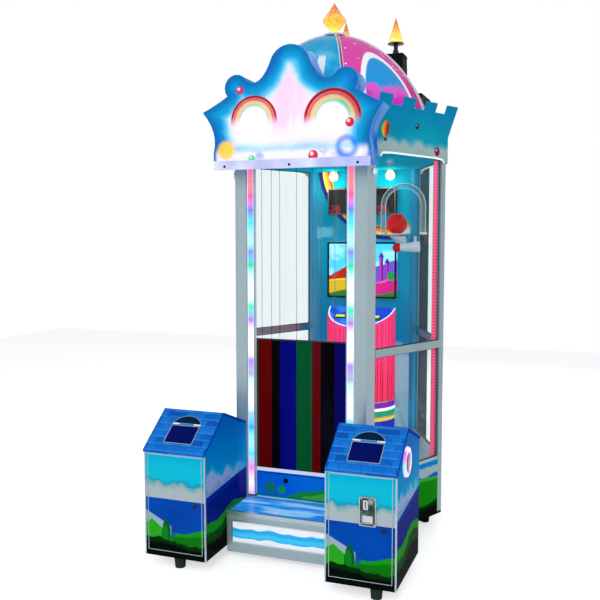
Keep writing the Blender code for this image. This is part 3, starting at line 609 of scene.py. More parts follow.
def sign_paint():
    """A cloud of light: blue towards the cut edge, white in the middle, rainbows and loose balls."""
    p = Paint("sign_print", WHITE, 0.25)
    edge, x, z, foot = p.attribute("edge"), p.x, p.z, FACE_LOW.z
    p.colour = p.ramp((edge + p.wobble(9, 3, 0.05)) / 0.13, (
        (0.0, 0x006CA8), (0.16, 0x007CB8), (0.40, 0x0A96CA), (0.56, 0x56B6DE),
        (0.72, 0xBADAEE), (1.0, 0xF6F0F8)))
    p.lay(0x1450BE, p.noise(7).band(0.56, 0.8, 0.06) * edge.fall(0.06, 0.02) * 0.4)
    p.lay(0xECBEF0, p.noise(6).rise(0.46, 0.12) * edge.rise(0.09, 0.02) * 0.35)
    middle = abs(x).fall(0.09, 0.05) * z.band(foot + 0.16, foot + 0.42, 0.05) * edge.rise(0.1, 0.02)
    p.lay(0xE8B0E8, middle * p.noise(16, 2, (1, 1, 0.25)).rise(0.42, 0.12) * 0.6)
    low = z.fall(foot + 0.075, 0.02)
    p.lay(0xE2E2FA, low * edge.rise(0.012, 0.01))
    p.lay(0x788CEC, low * p.noise(14, 3).rise(0.62, 0.1) * 0.7)
    for u, top, radius, width in ((0.203, 0.333, 0.135, 0.062), (-0.175, 0.322, 0.115, 0.05)):
        middle = foot + top - radius
        reach = p.reach(x, z, (u, middle))
        above = z.rise(middle - radius * 0.02, 0.03)
        for i, tone in enumerate((0xA0040E, 0xCE3E04, 0xEAA80A, 0x54B85A)):
            outer = radius - i * width / 4
            p.lay(tone, reach.band(outer - width / 4, outer, 0.004) * above * (1 - 0.12 * i))
        p.lay(WHITE, reach.fall(radius - width, 0.012) * above * 0.5)
    p.lay(0x1E78EB, p.reach(x, z, (0.27, foot + 0.075)).band(0.028, 0.052, 0.012) * 0.75)
    p.lay(0xF6C41E, p.reach(x, z, (-0.315, foot + 0.078)).fall(0.042, 0.012) * 0.9)
    for u, height, radius, tone in (
            (-0.244, 0.349, 0.017, 0xE11E5A), (0.283, 0.180, 0.019, 0xDC1832),
            (0.113, 0.042, 0.022, 0xDE2846), (-0.187, 0.038, 0.014, 0x5AD782)):
        reach = p.reach(x, z, (u, foot + height))
        shine = p.reach(x, z, (u - radius * 0.3, foot + height + radius * 0.35))
        p.lay(rgb(tone, 0.6), reach.fall(radius + 0.001, 0.001))
        p.lay(tone, reach.fall(radius - 0.002, 0.002))
        p.lay(WHITE, shine.fall(radius * 0.34, radius * 0.25) * 0.85)
    p.lay(0x0E46A0, edge.fall(0.0022, 0.001) * 0.8)
    return p.grain(60, 0.0001, 0.08).done(edge.rise(0.03, 0.03) * 0.2 + 0.16, 0.15)


def sign():
    """The printed face, cut from the CAD outline on a fine grid that carries its distance from the edge."""
    bm = bmesh.new()
    bm.from_mesh(NODES["marquee_face"].data)
    bmesh.ops.remove_doubles(bm, verts=bm.verts, dist=0.00002)
    bmesh.ops.dissolve_limit(bm, angle_limit=math.radians(1), verts=bm.verts, edges=bm.edges)
    front = max((f for f in bm.faces if f.normal.y < -0.9), key=lambda f: f.calc_area())
    outline = [(loop.vert.co.x, loop.vert.co.z) for loop in front.loops]
    if sum(a[0] * b[1] - b[0] * a[1] for a, b in zip(outline, outline[1:] + outline[:1])) < 0:
        outline.reverse()
    bm.free()
    plate = upright(outline, FACE_HIGH.y, FACE_HIGH.y - FACE_LOW.y)
    obj = piece("sign_face", plate, sign_paint(), "sign_face", bevel=0.0012)
    bm = bmesh.new()
    bm.from_mesh(obj.data)
    for normal in (X, Z):
        low, high = FACE_LOW.dot(normal), FACE_HIGH.dot(normal)
        for k in range(1, int((high - low) / SIGN_GRID)):
            bmesh.ops.bisect_plane(bm, geom=bm.verts[:] + bm.edges[:] + bm.faces[:], plane_no=normal,
                                   plane_co=normal * (low + k * SIGN_GRID))
    bm.to_mesh(obj.data)
    bm.free()
    places = [(v.co.x, v.co.z) for v in obj.data.vertices]
    attribute = obj.data.attributes.new("edge", "FLOAT", "POINT")
    attribute.data.foreach_set("value", edge_distance(places, outline).astype(np.float32))
    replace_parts(obj, "marquee_face")

    p = Paint("sign_side", 0x1E76CE, 0.3)
    p.lay(0x82B0E8, p.noise(6, 3).rise(0.45, 0.2))
    p.lay(0x1E46BE, p.noise(11).rise(0.62, 0.08) * 0.8)
    finish_nodes(p.grain(400, 0.00005, 0.08).done(0.22, 0.1), "marquee_box")
    return outline


def sign_trim(outline):
    """The clear acrylic lip round the cloud, and the bottom rail with its screws."""
    lip = upright((grow(outline, 0.0016), grow(outline, -0.0016)), FACE_LOW.y + 0.0035, 0.0024)
    piece("sign_lip", lip, moulded("sign_lip", 0x2878D7, 0.2, 0.35, 0.6), "sign_face", bevel=0.0004)
    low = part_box("marquee_trim")[0]
    p = Paint("sign_rail", 0xB0B6DE, 0.3, 0.5)
    p.lay(0xD6DCFA, p.noise(5).rise(0.5, 0.15))
    # Painted shade: the rail grows darker and bluer towards its right end.
    p.lay(0x7884D8, p.x.rise(0.2, 0.12) * 0.5)
    # The metal rail glows a little: painted light.
    finish_nodes(p.grain(p.noise(700, 3, (0.02, 1, 1)), 0.0002, 0.1).done(0.22), "marquee_trim")
    places = [(x, low.y - SKIN, low.z + 0.016) for x in (-0.323, -0.001, 0.321)]
    screws("sign_screws", places, -Y, 0.006, 0.0022, BLACK_PLASTIC)


# Crown
class Wall:
    """A side wall of the cabinet in plan: its start, and the directions along it and out of it."""

    def __init__(self, start, end):
        self.start = Vector(start)
        self.length = (Vector(end) - self.start).length
        self.along = (Vector(end) - self.start).normalized()
        self.out = Vector((self.along.y, -self.along.x))

    def slab(self, outline, outwards, thickness):
        """An outline of (distance along the wall, height), as plates on both sides of the cabinet."""
        place = self.start + self.out * outwards
        return both(slab(outline, (*place, 0), (*self.along, 0), Z, thickness))

    def run(self, p, direction):
        """Distance from the wall's start in a direction, the same on both sides of the cabinet."""
        return (abs(p.x) - self.start.x) * direction.x + (p.y - self.start.y) * direction.y


FRONT_WALL = Wall((0.33, FRONT_Y), (0.585, MID_Y))
REAR_WALL = Wall((0.585, MID_Y), (0.33, MID_Y + WALL_DEPTH))
WALL_LENGTH = FRONT_WALL.length


def crown_paint():
    """Open sky over a bank of clouds, with a striped balloon and two small dark balls."""
    p = Paint("crown_print", 0x008AB0, 0.3)
    run, z = FRONT_WALL.run(p, FRONT_WALL.along), p.z
    p.lay(0x10A8BE, p.noise(3.2).rise(0.5, 0.2) * 0.75)
    p.lay(0x0078B0, z.rise(2.06, 0.09) * 0.7)
    lumps = p.wobble(13, 3, 0.085, (1, 1, 0.6))
    p.lay(0x62B2BE, (z + lumps).fall(1.962, 0.012) * 0.7)
    p.lay(0x9EB8BA, (z + lumps * 1.2).fall(1.945, 0.012))
    p.lay(0x84A0A0, (z + lumps).fall(1.90, 0.03) * 0.5)
    stripes = p.ramp((run - 0.087) / 0.056, (
        (0.0, 0x96C828), (0.3, 0xEBBE1E), (0.52, 0xE15A14), (0.78, 0xC81428),
        (1.0, 0x8C0A28)))
    p.lay(stripes, p.reach((run - 0.115) / 0.028, (z - 1.998) / 0.037).fall(1.0, 0.06))
    p.lay(0x3C281E, run.band(0.106, 0.124) * z.band(1.944, 1.957))
    for s, height, radius, tone in ((0.35, 2.03, 0.011, 0x0A3C50), (0.53, 1.925, 0.02, 0x960E46)):
        reach = p.reach(run, z, (s, height))
        shine = p.reach(run, z, (s - radius * 0.3, height + radius * 0.35))
        p.lay(rgb(tone, 0.4), reach.fall(radius + 0.002))
        p.lay(tone, reach.fall(radius - 0.001, 0.002))
        p.lay(WHITE, shine.fall(radius * 0.3, 0.002) * 0.6)
    # The printed boards glow a little: painted light.
    return p.grain(*PRINT_GRAIN).done(0.14, 0.05)


def crown():
    finish_nodes(crown_paint(), "crown_left", "crown_right")
    # A bright extrusion follows each board's arched lower edge.
    low, top = 1.874, 1.894
    curve = [(0.08, low), (0.095, top - 0.004), (0.16, top), (WALL_LENGTH - 0.11, top),
             (WALL_LENGTH - 0.045, top - 0.004), (WALL_LENGTH - 0.03, low)]
    strip = [(u, v - 0.006) for u, v in curve] + [(u, v + 0.003) for u, v in reversed(curve)]
    piece("arch_trim", FRONT_WALL.slab(strip, 0.0088, 0.004) + REAR_WALL.slab(strip, 0.0088, 0.004),
          moulded("arch_trim", 0xDEEEF0, 0.25, 0.55, 0.4), "diffuser", bevel=0.0008)
    p = Paint("roof_deck_print", 0xA8BCC2, 0.4)
    under = p.normal("Z").fall(-0.5, 0.1)
    p.lay(0x0080A0, under)
    p.lay(0x0098B8, under * p.noise(3).rise(0.5, 0.2) * 0.7)
    # The underside glows a little: painted light.
    finish_nodes(p.grain(*PRINT_GRAIN).done(under * 0.3, 0.02), "roof_deck")


# Dome
def on_circle(centre, radius, angle, height):
    return Vector((centre[0] + radius * math.cos(angle), centre[1] + radius * math.sin(angle), height))


def dome_point(azimuth, climb, lift=0.0):
    """A point on the dome, climb running from 0 at its spring to a quarter turn at its top."""
    radius = (DOME_RADIUS + lift) * max(math.cos(climb), 0) ** DOME_POWER
    height = (DOME_TOP - DOME_SPRING + lift) * math.sin(climb) ** DOME_POWER
    return on_circle(DOME_CENTRE, radius, azimuth, DOME_SPRING + height)


def gore_angle(p, turn):
    """Degrees round the dome, less than a whole turn of which the ribs have been turned."""
    return (p.y - DOME_CENTRE.y).turn(p.x - DOME_CENTRE.x) * (180 / math.pi) + (360 + turn)


def dome_paint():
    """Gores between the ribs in turn sky blue and pink, each with an arched window of sky in white; each blue
    gore carries a painted highlight, a pale spot and a white streak.
    """
    p = Paint("dome_print", 0x00A0D7, 0.22)
    angle, z = gore_angle(p, DOME_TURN), p.z
    gore = angle % 60 - 30
    number = (angle / 60).floor() % GORES
    p.lay(0x0076CC, z.fall(2.24, 0.12) * 0.7)
    p.lay(0x78CDEB, p.noise(6, 3).rise(0.56, 0.1) * 0.5)
    pink = (number.band(4.5, 5.5, 0.01) + number.fall(0.5, 0.01) + number.band(1.5, 2.5, 0.01)).least(1.0)
    p.lay(0xE046A8, pink)
    p.lay(0xCE148C, pink * z.fall(2.27, 0.06) * 0.9)
    share = ((z - DOME_SPRING) / (DOME_TOP - DOME_SPRING)).most(0.0).least(1.0)
    climb = p.math("ARCSINE", share.power(1 / DOME_POWER)) * (180 / math.pi)
    u, v = gore / 19.5, (climb - 20) / 31
    window = (u * u + (v * v) * v.rise(0, 0.01)).root()
    p.lay(0xFAFAFF, window.fall(1.0, 0.02) * climb.rise(13, 0.6) * pink)
    glass = window.fall(0.84, 0.02) * climb.rise(15, 0.6)
    p.lay(0x1C98DE, glass * pink)
    p.lay(0xE45ACE, glass * pink * (climb + p.wobble(11, 3, 22)).fall(27, 2.5))
    p.lay(0xD632BE, glass * pink * (climb + p.wobble(9, 3, 18)).fall(20.5, 2.0))
    # Painted highlights: a pale spot and a narrow white streak on each blue gore.
    spot, blue = p.reach((gore + 2) / 9.5, (climb - 41) / 8), 1 - pink
    p.lay(0x96D6EE, spot.fall(1.25, 0.15) * blue)
    p.lay(0xD8E8EE, spot.fall(0.8, 0.2) * blue)
    p.lay(0xF0F8FC, ((gore - 15) * (gore - 15)).fall(9, 2) * climb.band(28, 46, 2) * blue * 0.8)
    stars = p.cells(26).fall(0.17, 0.03)
    p.lay(0xFFF0FA, stars * (1 - window.fall(1.1, 0.02)) * climb.rise(24, 4) * pink * 0.8)
    # The dome glows a little: painted light.
    return p.grain(400, 0.00004, 0.06).done(0.16, 0.25)


def rib_paint():
    """Silver ribs with a purple middle line, and a bright hub."""
    p = Paint("rib_finish", 0xD2D2E1, 0.24, 0.3)
    reach = p.reach(p.x, p.y, DOME_CENTRE)
    angle = gore_angle(p, DOME_TURN + 30) % 60 - 30
    p.lay(0x56186E, (abs(angle) * (math.pi / 180) * reach).fall(0.0048, 0.0006))
    p.lay(0xBECDDE, reach.fall(0.066))
    # The ribs glow faintly: painted light.
    return p.grain(160, 0.0002, 0.1).done(0.08, 0.4)


def dome():
    bottom, top, wall = DOME_LOW.z, DOME_TOP, 0.006
    points = [dome_point(0, math.pi / 2 * (1 - i / 40)) for i in range(41)]
    outer = [((p - DOME_CENTRE).xy.length, p.z) for p in points]
    outer[0] = (0, top)
    inner = [(max(r - wall, 0), min(z - wall * 0.6, top - wall)) for r, z in reversed(outer)]
    inner[-1] = (0, top - wall)
    profile = outer + [(DOME_RADIUS + 0.002, bottom + 0.012), (DOME_RADIUS + 0.002, bottom),
                       (DOME_RADIUS - wall, bottom)] + inner
    shell = piece("dome_skin", lathe(profile, DOME_CENTRE, steps=120), dome_paint(), "dome_skin", sharp=30)
    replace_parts(shell, "dome_shell")
    half, count, first, last = 0.009, 30, 6.5, 83
    section = ((-half, 0.0006), (-half, 0.005), (-half * 0.7, 0.0078), (half * 0.7, 0.0078), (half, 0.005),
               (half, 0.0006))
    ribs, rivets = [], []
    for azimuth in (math.radians(60 * i - DOME_TURN) for i in range(GORES)):
        side = Vector((-math.sin(azimuth), math.cos(azimuth), 0))
        climbs = [math.radians(first + (last - first) * k / count) for k in range(count + 1)]
        ribs.append(swept([[dome_point(azimuth, climb, lift) + side * across for across, lift in section]
                           for climb in climbs]))
        for climb in map(math.radians, (9, 30, 52)):
            out = (dome_point(azimuth, climb, 0.05) - dome_point(azimuth, climb)).normalized()
            rivets.append(screw_head(dome_point(azimuth, climb, 0.0074), out, 0.0035, 0.0014))
    hub = lathe([(0, top + 0.0098), (0.05, top + 0.0098), (0.060, top + 0.0085), (0.064, top + 0.005),
                 (0.064, top + 0.0006), (0, top + 0.0006)], DOME_CENTRE, steps=64)
    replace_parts(piece("dome_rib_set", [hub, *ribs], rib_paint(), "aluminium"), "dome_ribs")
    piece("dome_rivets", rivets, STEEL, "aluminium")


def amber_paint(name, low, high):
    """Lit clear amber, yellow low down and orange-brown towards the tip, with dark and bright flecks."""
    p = Paint(name, 0xF0AA28, 0.08)
    p.colour = p.ramp((p.z - low) / (high - low) + p.wobble(60, 2, 0.5), (
        (0.0, 0xFFF078), (0.28, 0xFCCE3C), (0.5, 0xF0A832), (0.72, 0xD6781E),
        (1.0, 0xC45C1A)))
    p.lay(0x6E340E, p.noise(85).rise(0.66, 0.05) * 0.75)
    p.lay(0xFFFAD6, p.noise(120, 1).rise(0.68, 0.04) * 0.8)
    return p.grain(p.noise(90, 1), 0.0006, 0.05).done(0.5, 1.0)


def crystal(profile, place, sides=9):
    """A cut crystal: each ring is turned half a step from the last, so that the facets are lozenges."""
    points, rings, faces = [], [], []
    for n, (radius, height) in enumerate(profile):
        size = sides if radius > 1e-6 else 1
        rings.append(list(range(len(points), len(points) + size)))
        for i in range(size):
            points.append(on_circle(place, radius, 2 * math.pi * (i + n % 2 / 2) / sides, height))
    for n, (first, second) in enumerate(zip(rings, rings[1:])):
        for i in range(sides):
            j = (i + 1) % sides
            if len(first) == 1:
                faces.append([first[0], second[i], second[j]])
            elif len(second) == 1:
                faces.append([first[i], first[j], second[0]])
            elif n % 2:
                faces += [[first[i], first[j], second[j]], [first[i], second[j], second[i]]]
            else:
                faces += [[first[i], first[j], second[i]], [first[j], second[j], second[i]]]
    return points, faces


def finials():
    """The gem on the dome, and a faceted cone on its stem on each turret."""
    low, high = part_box("dome_gem")
    height, wide = high.z - low.z, (high.x - low.x) / 2
    shares = ((0, 0), (0.2, 0.13), (0.42, 0.26), (0.68, 0.4), (0.95, 0.53), (0.98, 0.6), (0.72, 0.72),
              (0.45, 0.84), (0.26, 0.95), (0.42, 1), (0, 1))
    shape = crystal([(wide * r, high.z - height * h) for r, h in shares], (low + high) / 2)
    amber = amber_paint("gem_amber", low.z, high.z)
    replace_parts(piece("gem_crystal", shape, amber, "amber_plastic", sharp=1), "dome_gem")
    count, height = 9, 0.152
    for side in SIDES:
        low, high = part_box(f"turret_cone_{side}")
        middle, wide, base = (low + high) / 2, (high.x - low.x) / 2, high.z - height
        rings = [(wide * 0.97 * i / count, high.z - height * i / count) for i in range(count + 1)]
        shape = crystal(rings + [(wide * 0.7, base - 0.002), (0, base - 0.002)], middle)
        cone = piece(f"cone_crystal_{side}", shape, amber_paint(f"cone_amber_{side}", base, high.z),
                     "amber_plastic", sharp=1)
        stem = [(0, base - 0.0022), (wide, base - 0.003), (wide, base - 0.007), (wide * 0.5, base - 0.011),
                (0.014, base - 0.014), (0.012, base - 0.040), (0.017, base - 0.044), (0.019, low.z + 0.004),
                (0.019, low.z), (0, low.z)]
        piece(f"cone_stem_{side}", lathe(stem, (*middle.xy, 0), steps=32), DARK_METAL)
        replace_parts(cone, f"turret_cone_{side}")


# Machine room at the rear
def black_paint():
    p = Paint("black_board", 0x0E0F13, 0.42)
    p.lay(0x1E1F26, p.noise(4, 4).rise(0.5, 0.2) * 0.6)
    return p.grain(p.noise(240, 3), 0.0003, 0.16).done(coat=0.1)


def rear():
    black = black_paint()
    finish_nodes(black, "rear_housing", "rear_door", "turret_left", "turret_right")
    finish_nodes(GREY_PLASTIC, "power_unit")
    low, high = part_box("rear_door")
    housing_low, housing_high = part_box("rear_housing")
    back = housing_high.y
    heights = [z + i * 0.021 for z in (low.z + 0.16, high.z - 0.30) for i in range(7)]
    place = (0, back - 0.0004, 0)
    vents = [slab(rim(-0.12, 0.12, z, z + 0.011, 0.0025, 0.005, 0.0029, 3), place, -X, Z, 0.0016)
             for z in heights]
    piece("rear_vents", vents, DARK_METAL, body="rear_door")
    hinge = (high.x + 0.0005, back - 0.0005)
    pins = [tube([(*hinge, z - 0.03), (*hinge, z + 0.03)], 0.0028)
            for z in (low.z + 0.2, (low.z + high.z) / 2, high.z - 0.2)]
    piece("rear_hinge_pins", pins, STEEL, body="rear_door")
    screws("rear_screws", [(x, back + SKIN, housing_low.z + 0.12 + k * 0.29)
                           for x in (housing_low.x + 0.012, housing_high.x - 0.012) for k in range(8)],
           Y, 0.004, 0.0015, DARK_METAL)
    key_lock("rear_lock_{}", (-0.235, back + 0.0009, 1.05), Y, 0.0135, STEEL, DARK_METAL, "rear_door")
    x, z, depth = -0.2525, 0.129, 0.0077
    inlet = (rounded(x - 0.0235, x + 0.0235, z - 0.0135, z + 0.0135, 0.004, 4),
             rounded(x - 0.0175, x + 0.0175, z - 0.0095, z + 0.0095, 0.004, 4))
    piece("inlet_rim", upright(inlet, back - 0.0006, 0.0022), BLACK_PLASTIC, bevel=0.0004)
    prongs = [block((u - 0.001, back - depth, v - 0.002), (u + 0.001, back - 0.001, v + 0.002))
              for u, v in ((x - 0.007, z - 0.002), (x, z + 0.002), (x + 0.007, z - 0.002))]
    piece("inlet_pins", prongs, STEEL, bevel=0.0004)
    # Ledges give each turret its stepped top and foot.
    low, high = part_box("turret_right")
    y, ledges = (low.y + high.y) / 2, []
    for x in (-0.156, 0.156):
        ledges += [flat(square_rim(x, y, 0.059, 0.0024, 0.004, 0.002, 2), high.z - 0.020, 0.012),
                   flat(square_rim(x, y, 0.075, 0.0122, 0.006, 0.002, 2), low.z, 0.022)]
    piece("turret_ledges", ledges, black, "black_board", bevel=0.0012)


# Cabinet
LED_COLOURS = (
    0x788ABA, 0xF05A96, 0xFA7878, 0xF25482, 0x5C70E2,
    0x3CC4F6, 0x96ECF6, 0x6E78E2, 0x18BE8C, 0xC4FFEC,
    0xFAFFFC, 0x28C896, 0x966EDC, 0xFAE2FF, 0xFCFAFF,
    0x966EE2, 0x96A0B0, 0xC4ECD6, 0xFAFCE2, 0x82B4BE,
    0x18A0D8, 0x96F0FC, 0x46C8E8, 0xEC6EE2, 0xFCE2FA,
    0xDC96E2)


def side_frame_paint():
    """Grey metal frames, with their inner faces beside the back wall as teal as the wall."""
    p = Paint("side_frame_finish", 0x98B0B6, 0.38, 0.4)
    p.lay(0x7A9298, p.noise(7, 3) * 0.5)
    inside = REAR_WALL.run(p, REAR_WALL.out).fall(-0.004, 0.0005) * p.y.rise(REAR_Y - 0.11, 0.002)
    p.lay(0x007096, inside)
    p.lay(0x008CBE, inside * p.noise(4, 2, (1, 1, 0.3)).rise(0.5, 0.2) * 0.8)
    # The teal inner faces glow a little, like the back wall: painted light.
    return p.grain(p.noise(900, 3, (1, 1, 0.02)), 0.0001, 0.1).done(inside * 0.3)


def diffuser_paint():
    """A frosted strip over lamps that change colour along it, one spot to each module."""
    low, high = CHANNEL_LOW, CHANNEL_HIGH
    p = Paint("led_diffuser", WHITE, 0.35)
    last = len(LED_COLOURS) - 1
    p.colour = p.ramp((high.z - p.z) / (high.z - low.z), [(i / last, c) for i, c in enumerate(LED_COLOURS)])
    across = abs(abs(p.x) - (low.x + high.x) / 2) / ((high.x - low.x) / 2)
    p.lay(0xCEDEEE, across.rise(0.66, 0.12) * 0.85)
    strength = ((high.z - p.z) / 0.066).stripe().fall(0.42, 0.1) * 0.35 + 0.62
    return p.grain(300, 0.0001, 0.06).done(strength * across.fall(0.75, 0.2) + 0.12, 0.3)


def posts():
    finish_nodes(ALUMINIUM, "front_post_left", "front_post_right")
    finish_nodes(side_frame_paint(), "side_frame_left", "side_frame_right")
    finish_nodes(diffuser_paint(), "led_channel_left", "led_channel_right")
    # Edges of the extrusion stand either side of each diffuser, with its groove between.
    half, low, high = 0.0012, CHANNEL_LOW.z, CHANNEL_HIGH.z
    ribs = [block((x - half, FRONT_Y - half, low), (x + half, FRONT_Y + 0.006, high))
            for x in (CHANNEL_LOW.x + 0.0015, POST_LOW.x + 0.0035, POST_LOW.x + 0.05)]
    piece("post_ribs", both(*ribs), BRIGHT, bevel=0.0004)
    # Pink light strips run up inside the middle posts.
    start, depth, low, high = WALL_LENGTH - 0.0585, -0.030, DECK_TOP, POST_HIGH.z
    strip = rounded(start, start + 0.022, low + 0.005, high - 0.01, 0.003, 3)
    seat = rounded(start - 0.003, start + 0.025, low + 0.002, high - 0.004, 0.001, 1)
    p = Paint("pink_strip", 0xE2285C)
    p.lay(0xE2608C, p.z.rise(1.6, 0.3) * 0.5)
    p.lay(0xF078A0, (p.z / 0.0167).stripe().fall(0.22, 0.12) * 0.5)
    piece("pink_strips", FRONT_WALL.slab(strip, depth, 0.006), p.done(0.8), "diffuser", bevel=0.001)
    piece("strip_seats", FRONT_WALL.slab(seat, depth - 0.0024, 0.0022), ALUMINIUM)
    # A small round lamp sits at the top of each front post.
    axis = (*FRONT_WALL.out, 0)
    place = (*(FRONT_WALL.start + FRONT_WALL.along * 0.05 + FRONT_WALL.out * 0.0004), 1.80)
    ring = [(0.013, 0), (0.0135, 0.004), (0.017, 0.0058), (0.0205, 0.003), (0.021, 0)]
    face = [(0, 0.0042), (0.008, 0.0040), (0.0128, 0.0026), (0.0128, 0.0002), (0, 0.0002)]
    piece("post_lamp_rims", both(lathe(ring, place, axis, 32)), BRIGHT)
    piece("post_lamps", both(lathe(face, place, axis, 32)), moulded("lamp_face", 0xAACDFA, 0.2, 0.9, 0.5),
          "diffuser")
    # Screws hold the glazing rails and posts.
    heads = []
    for wall, near in ((FRONT_WALL, 0.035), (REAR_WALL, 0.017)):
        for run in (WALL_LENGTH - 0.017, near):
            place = wall.start + wall.along * run + wall.out * SKIN
            heads += [screw_head((*place, z), (*wall.out, 0), 0.0042, 0.0016)
                      for z in (0.42, 0.954, 1.5, 1.84)]
    piece("post_screws", both(*heads), STEEL, "aluminium")


def glazing():
    finish_nodes(GLASS, *[f"side_pane_{end}_{side}" for end in ("front", "rear") for side in SIDES])
    # Black rubber gaskets seat each pane in its frame.
    gaskets = []
    for wall, s0, s1 in ((FRONT_WALL, 0.0672, WALL_LENGTH - 0.036), (REAR_WALL, 0.036, WALL_LENGTH - 0.041)):
        for z0, z1 in ((DECK_TOP + 0.001, 0.9345), (0.9735, POST_HIGH.z - 0.001)):
            gaskets += wall.slab(rim(s0, s1, z0, z1, 0.004, 0.002, 0.002, 1), -0.0123, 0.0024)
    piece("gaskets", gaskets, moulded("gasket", 0x3A464A, 0.6, texture=600), "black_plastic")


def front_panels():
    """Coloured strips below, and clear hanging strips above, with lapped edges at most of the same places."""
    edges = (-0.243, -0.225, -0.155, -0.112, -0.026, 0.053, 0.097, 0.166, 0.217)
    tones = (0x043C24, 0x5C0408, 0x060608, 0x060874, 0x025428, 0x600408,
             0x050408, 0x0A065C, 0x07086C)
    p = Paint("stripe_print", 0x042216, 0.16)
    for edge, tone in zip(edges, tones):
        p.lay(tone, p.x.rise(edge, 0.0006))
    p.lay(0x1E283C, p.noise(5, 3, (1, 1, 0.3)).rise(0.6, 0.1) * 0.16)
    # The striped board glows a little: painted light.
    finish_nodes(p.grain(p.noise(14, 2, (3, 1, 0.3)), 0.0006, 0.05).done(0.14, 0.02), "striped_panel")
    low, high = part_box("front_screen")
    middle, count, gap, half = (low.y + high.y) / 2, 8, 0.0006, 0.0005
    limits = [low.x + 0.001, -0.205, *edges[2:], high.x - 0.001]
    strips = []
    for n, (left, right) in enumerate(zip(limits, limits[1:])):
        bulge = 0.0011 if n % 2 else -0.0011
        curve = [(left + (right - left) * i / count + {0: gap, count: -gap}.get(i, 0),
                  middle + bulge * math.sin(math.pi * i / count)) for i in range(count + 1)]
        outline = [(x, y - half) for x, y in curve] + [(x, y + half) for x, y in reversed(curve)]
        strips.append(flat(outline, low.z, high.z - low.z))
    laps = [block((x - 0.0016, middle - 0.0008, low.z), (x + 0.0016, middle + 0.0008, high.z))
            for x in limits[1:-1]]
    sheet = piece("hanging_strips", strips, clear("strip_sheet", 0xFAFCFC, 0.07), "clear_glazing")
    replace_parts(sheet, "front_screen")
    piece("strip_laps", laps, clear("lap_edge", 0xCEDADE, 0.2, 0.02), "clear_glazing")
    # A dark rail clamps the coloured board's upper edge, and a metal one holds the strips.
    face, z = PANEL_LOW.y, PANEL_HIGH.z
    rail = block((low.x + 0.002, face - 0.0016, z - 0.004), (high.x - 0.002, face - 0.0002, z + 0.004))
    piece("clamp_rail", rail, moulded("clamp_rail", 0x463C46, 0.3), "black_plastic", bevel=0.0004)
    x, z = high.x - 0.001, high.z
    rail = block((low.x + 0.001, face - 0.010, z - 0.03), (x, face - 0.0004, z - 0.001))
    piece("strip_rail", rail, ALUMINIUM, bevel=0.001)
    # A bright sill covers the deck's front edge.
    half = POST_LOW.x - 0.041
    sill = block((-half, face - 0.0075, DECK_TOP - 0.014), (half, face - 0.0008, DECK_TOP + 0.003))
    # The white sill glows a little: painted light.
    piece("deck_sill", sill, moulded("sill_white", 0xE2E8F2, 0.3, 0.3), "aluminium", bevel=0.0012)
    finish_nodes(ALUMINIUM, "cabinet_deck")


def tray_paint():
    """Sky, clouds, hills and dark foreground on the sides, and plain blue and low green at the step."""
    p = Paint("tray_print", 0x008AD6, 0.3)
    run, z, clouds = FRONT_WALL.run(p, FRONT_WALL.along), p.z, 0.325
    lumps = p.wobble(16, 3, 0.06, (1, 1, 0.5))
    hill = (run * 9).sine() * 0.022 + (run * 23 + 1).sine() * 0.008 + lumps * 0.25
    p.lay(0xB0BEC4, (z + lumps).fall(clouds, 0.004) * 0.9)
    p.lay(0x0A60C8, (z + lumps).fall(clouds - 0.045, 0.004))
    p.lay(0x3CB428, (z + hill).fall(clouds - 0.075, 0.003))
    p.lay(0x108C0E, (z + hill * 0.8 + 0.012).fall(clouds - 0.075, 0.006))
    p.lay(0x042E08, (z - hill * 0.9 + lumps * 0.4).fall(clouds - 0.175, 0.008))
    p.lay(0x040E06, (z + lumps * 0.3).fall(clouds - 0.215, 0.012))
    front = p.y.fall(PANEL_LOW.y + 0.004, 0.002)
    p.lay(0x004CC4, front)
    p.lay(0x128078, front * (z + (p.x * 14).sine() * 0.012).fall(0.272, 0.006))
    # The print glows a little: painted light.
    return p.grain(*PRINT_GRAIN).done(0.12, 0.02)


def riser_paint():
    """Blue with a green mound and two bushes."""
    p = Paint("riser_print", 0x0054C4, 0.3)
    z, x = p.z, p.x
    p.lay(0x0074D6, p.noise(5).rise(0.5, 0.2) * 0.7)
    mound = ((x - 0.12) * (x - 0.12)) * 1.3 + p.wobble(30, 2, 0.02)
    p.lay(0x14823C, (z + mound).fall(0.282, 0.003))
    p.lay(0x3CA03C, (z + mound * 1.5).fall(0.262, 0.003))
    for place, radius, tone in (((-0.165, 0.268), 0.03, 0x106E64), ((-0.105, 0.262), 0.022, 0x148C5A)):
        p.lay(tone, (p.reach(x, z, place) + p.wobble(60, 2, 0.02)).fall(radius, 0.003))
    # The print glows a little: painted light.
    return p.grain(*PRINT_GRAIN).done(0.25, 0.05)


def tray():
    finish_nodes(tray_paint(), "base_tray")
    finish_nodes(riser_paint(), "riser_door")
    place = (-0.08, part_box("riser_door")[0].y - SKIN, 0.312)
    key_lock("riser_lock_{}", place, -Y, 0.012, BLACK_PLASTIC, DARK_METAL, "riser_door")
    # A lock nut holds each adjustable foot below its plate.
    plate = TRAY_LOW.z + 0.06
    profile = [(0, plate - 0.003), (0.0295, plate - 0.003), (0.0295, plate - 0.009), (0, plate - 0.009)]
    nuts = [lathe(profile, (x * side, y, 0), steps=6)
            for x, y in ((0.27, FRONT_Y + 0.09), (0.50, MID_Y), (0.27, FRONT_Y + 1.04)) for side in (-1, 1)]
    piece("foot_nuts", nuts, STEEL, "aluminium", bevel=0.0006)


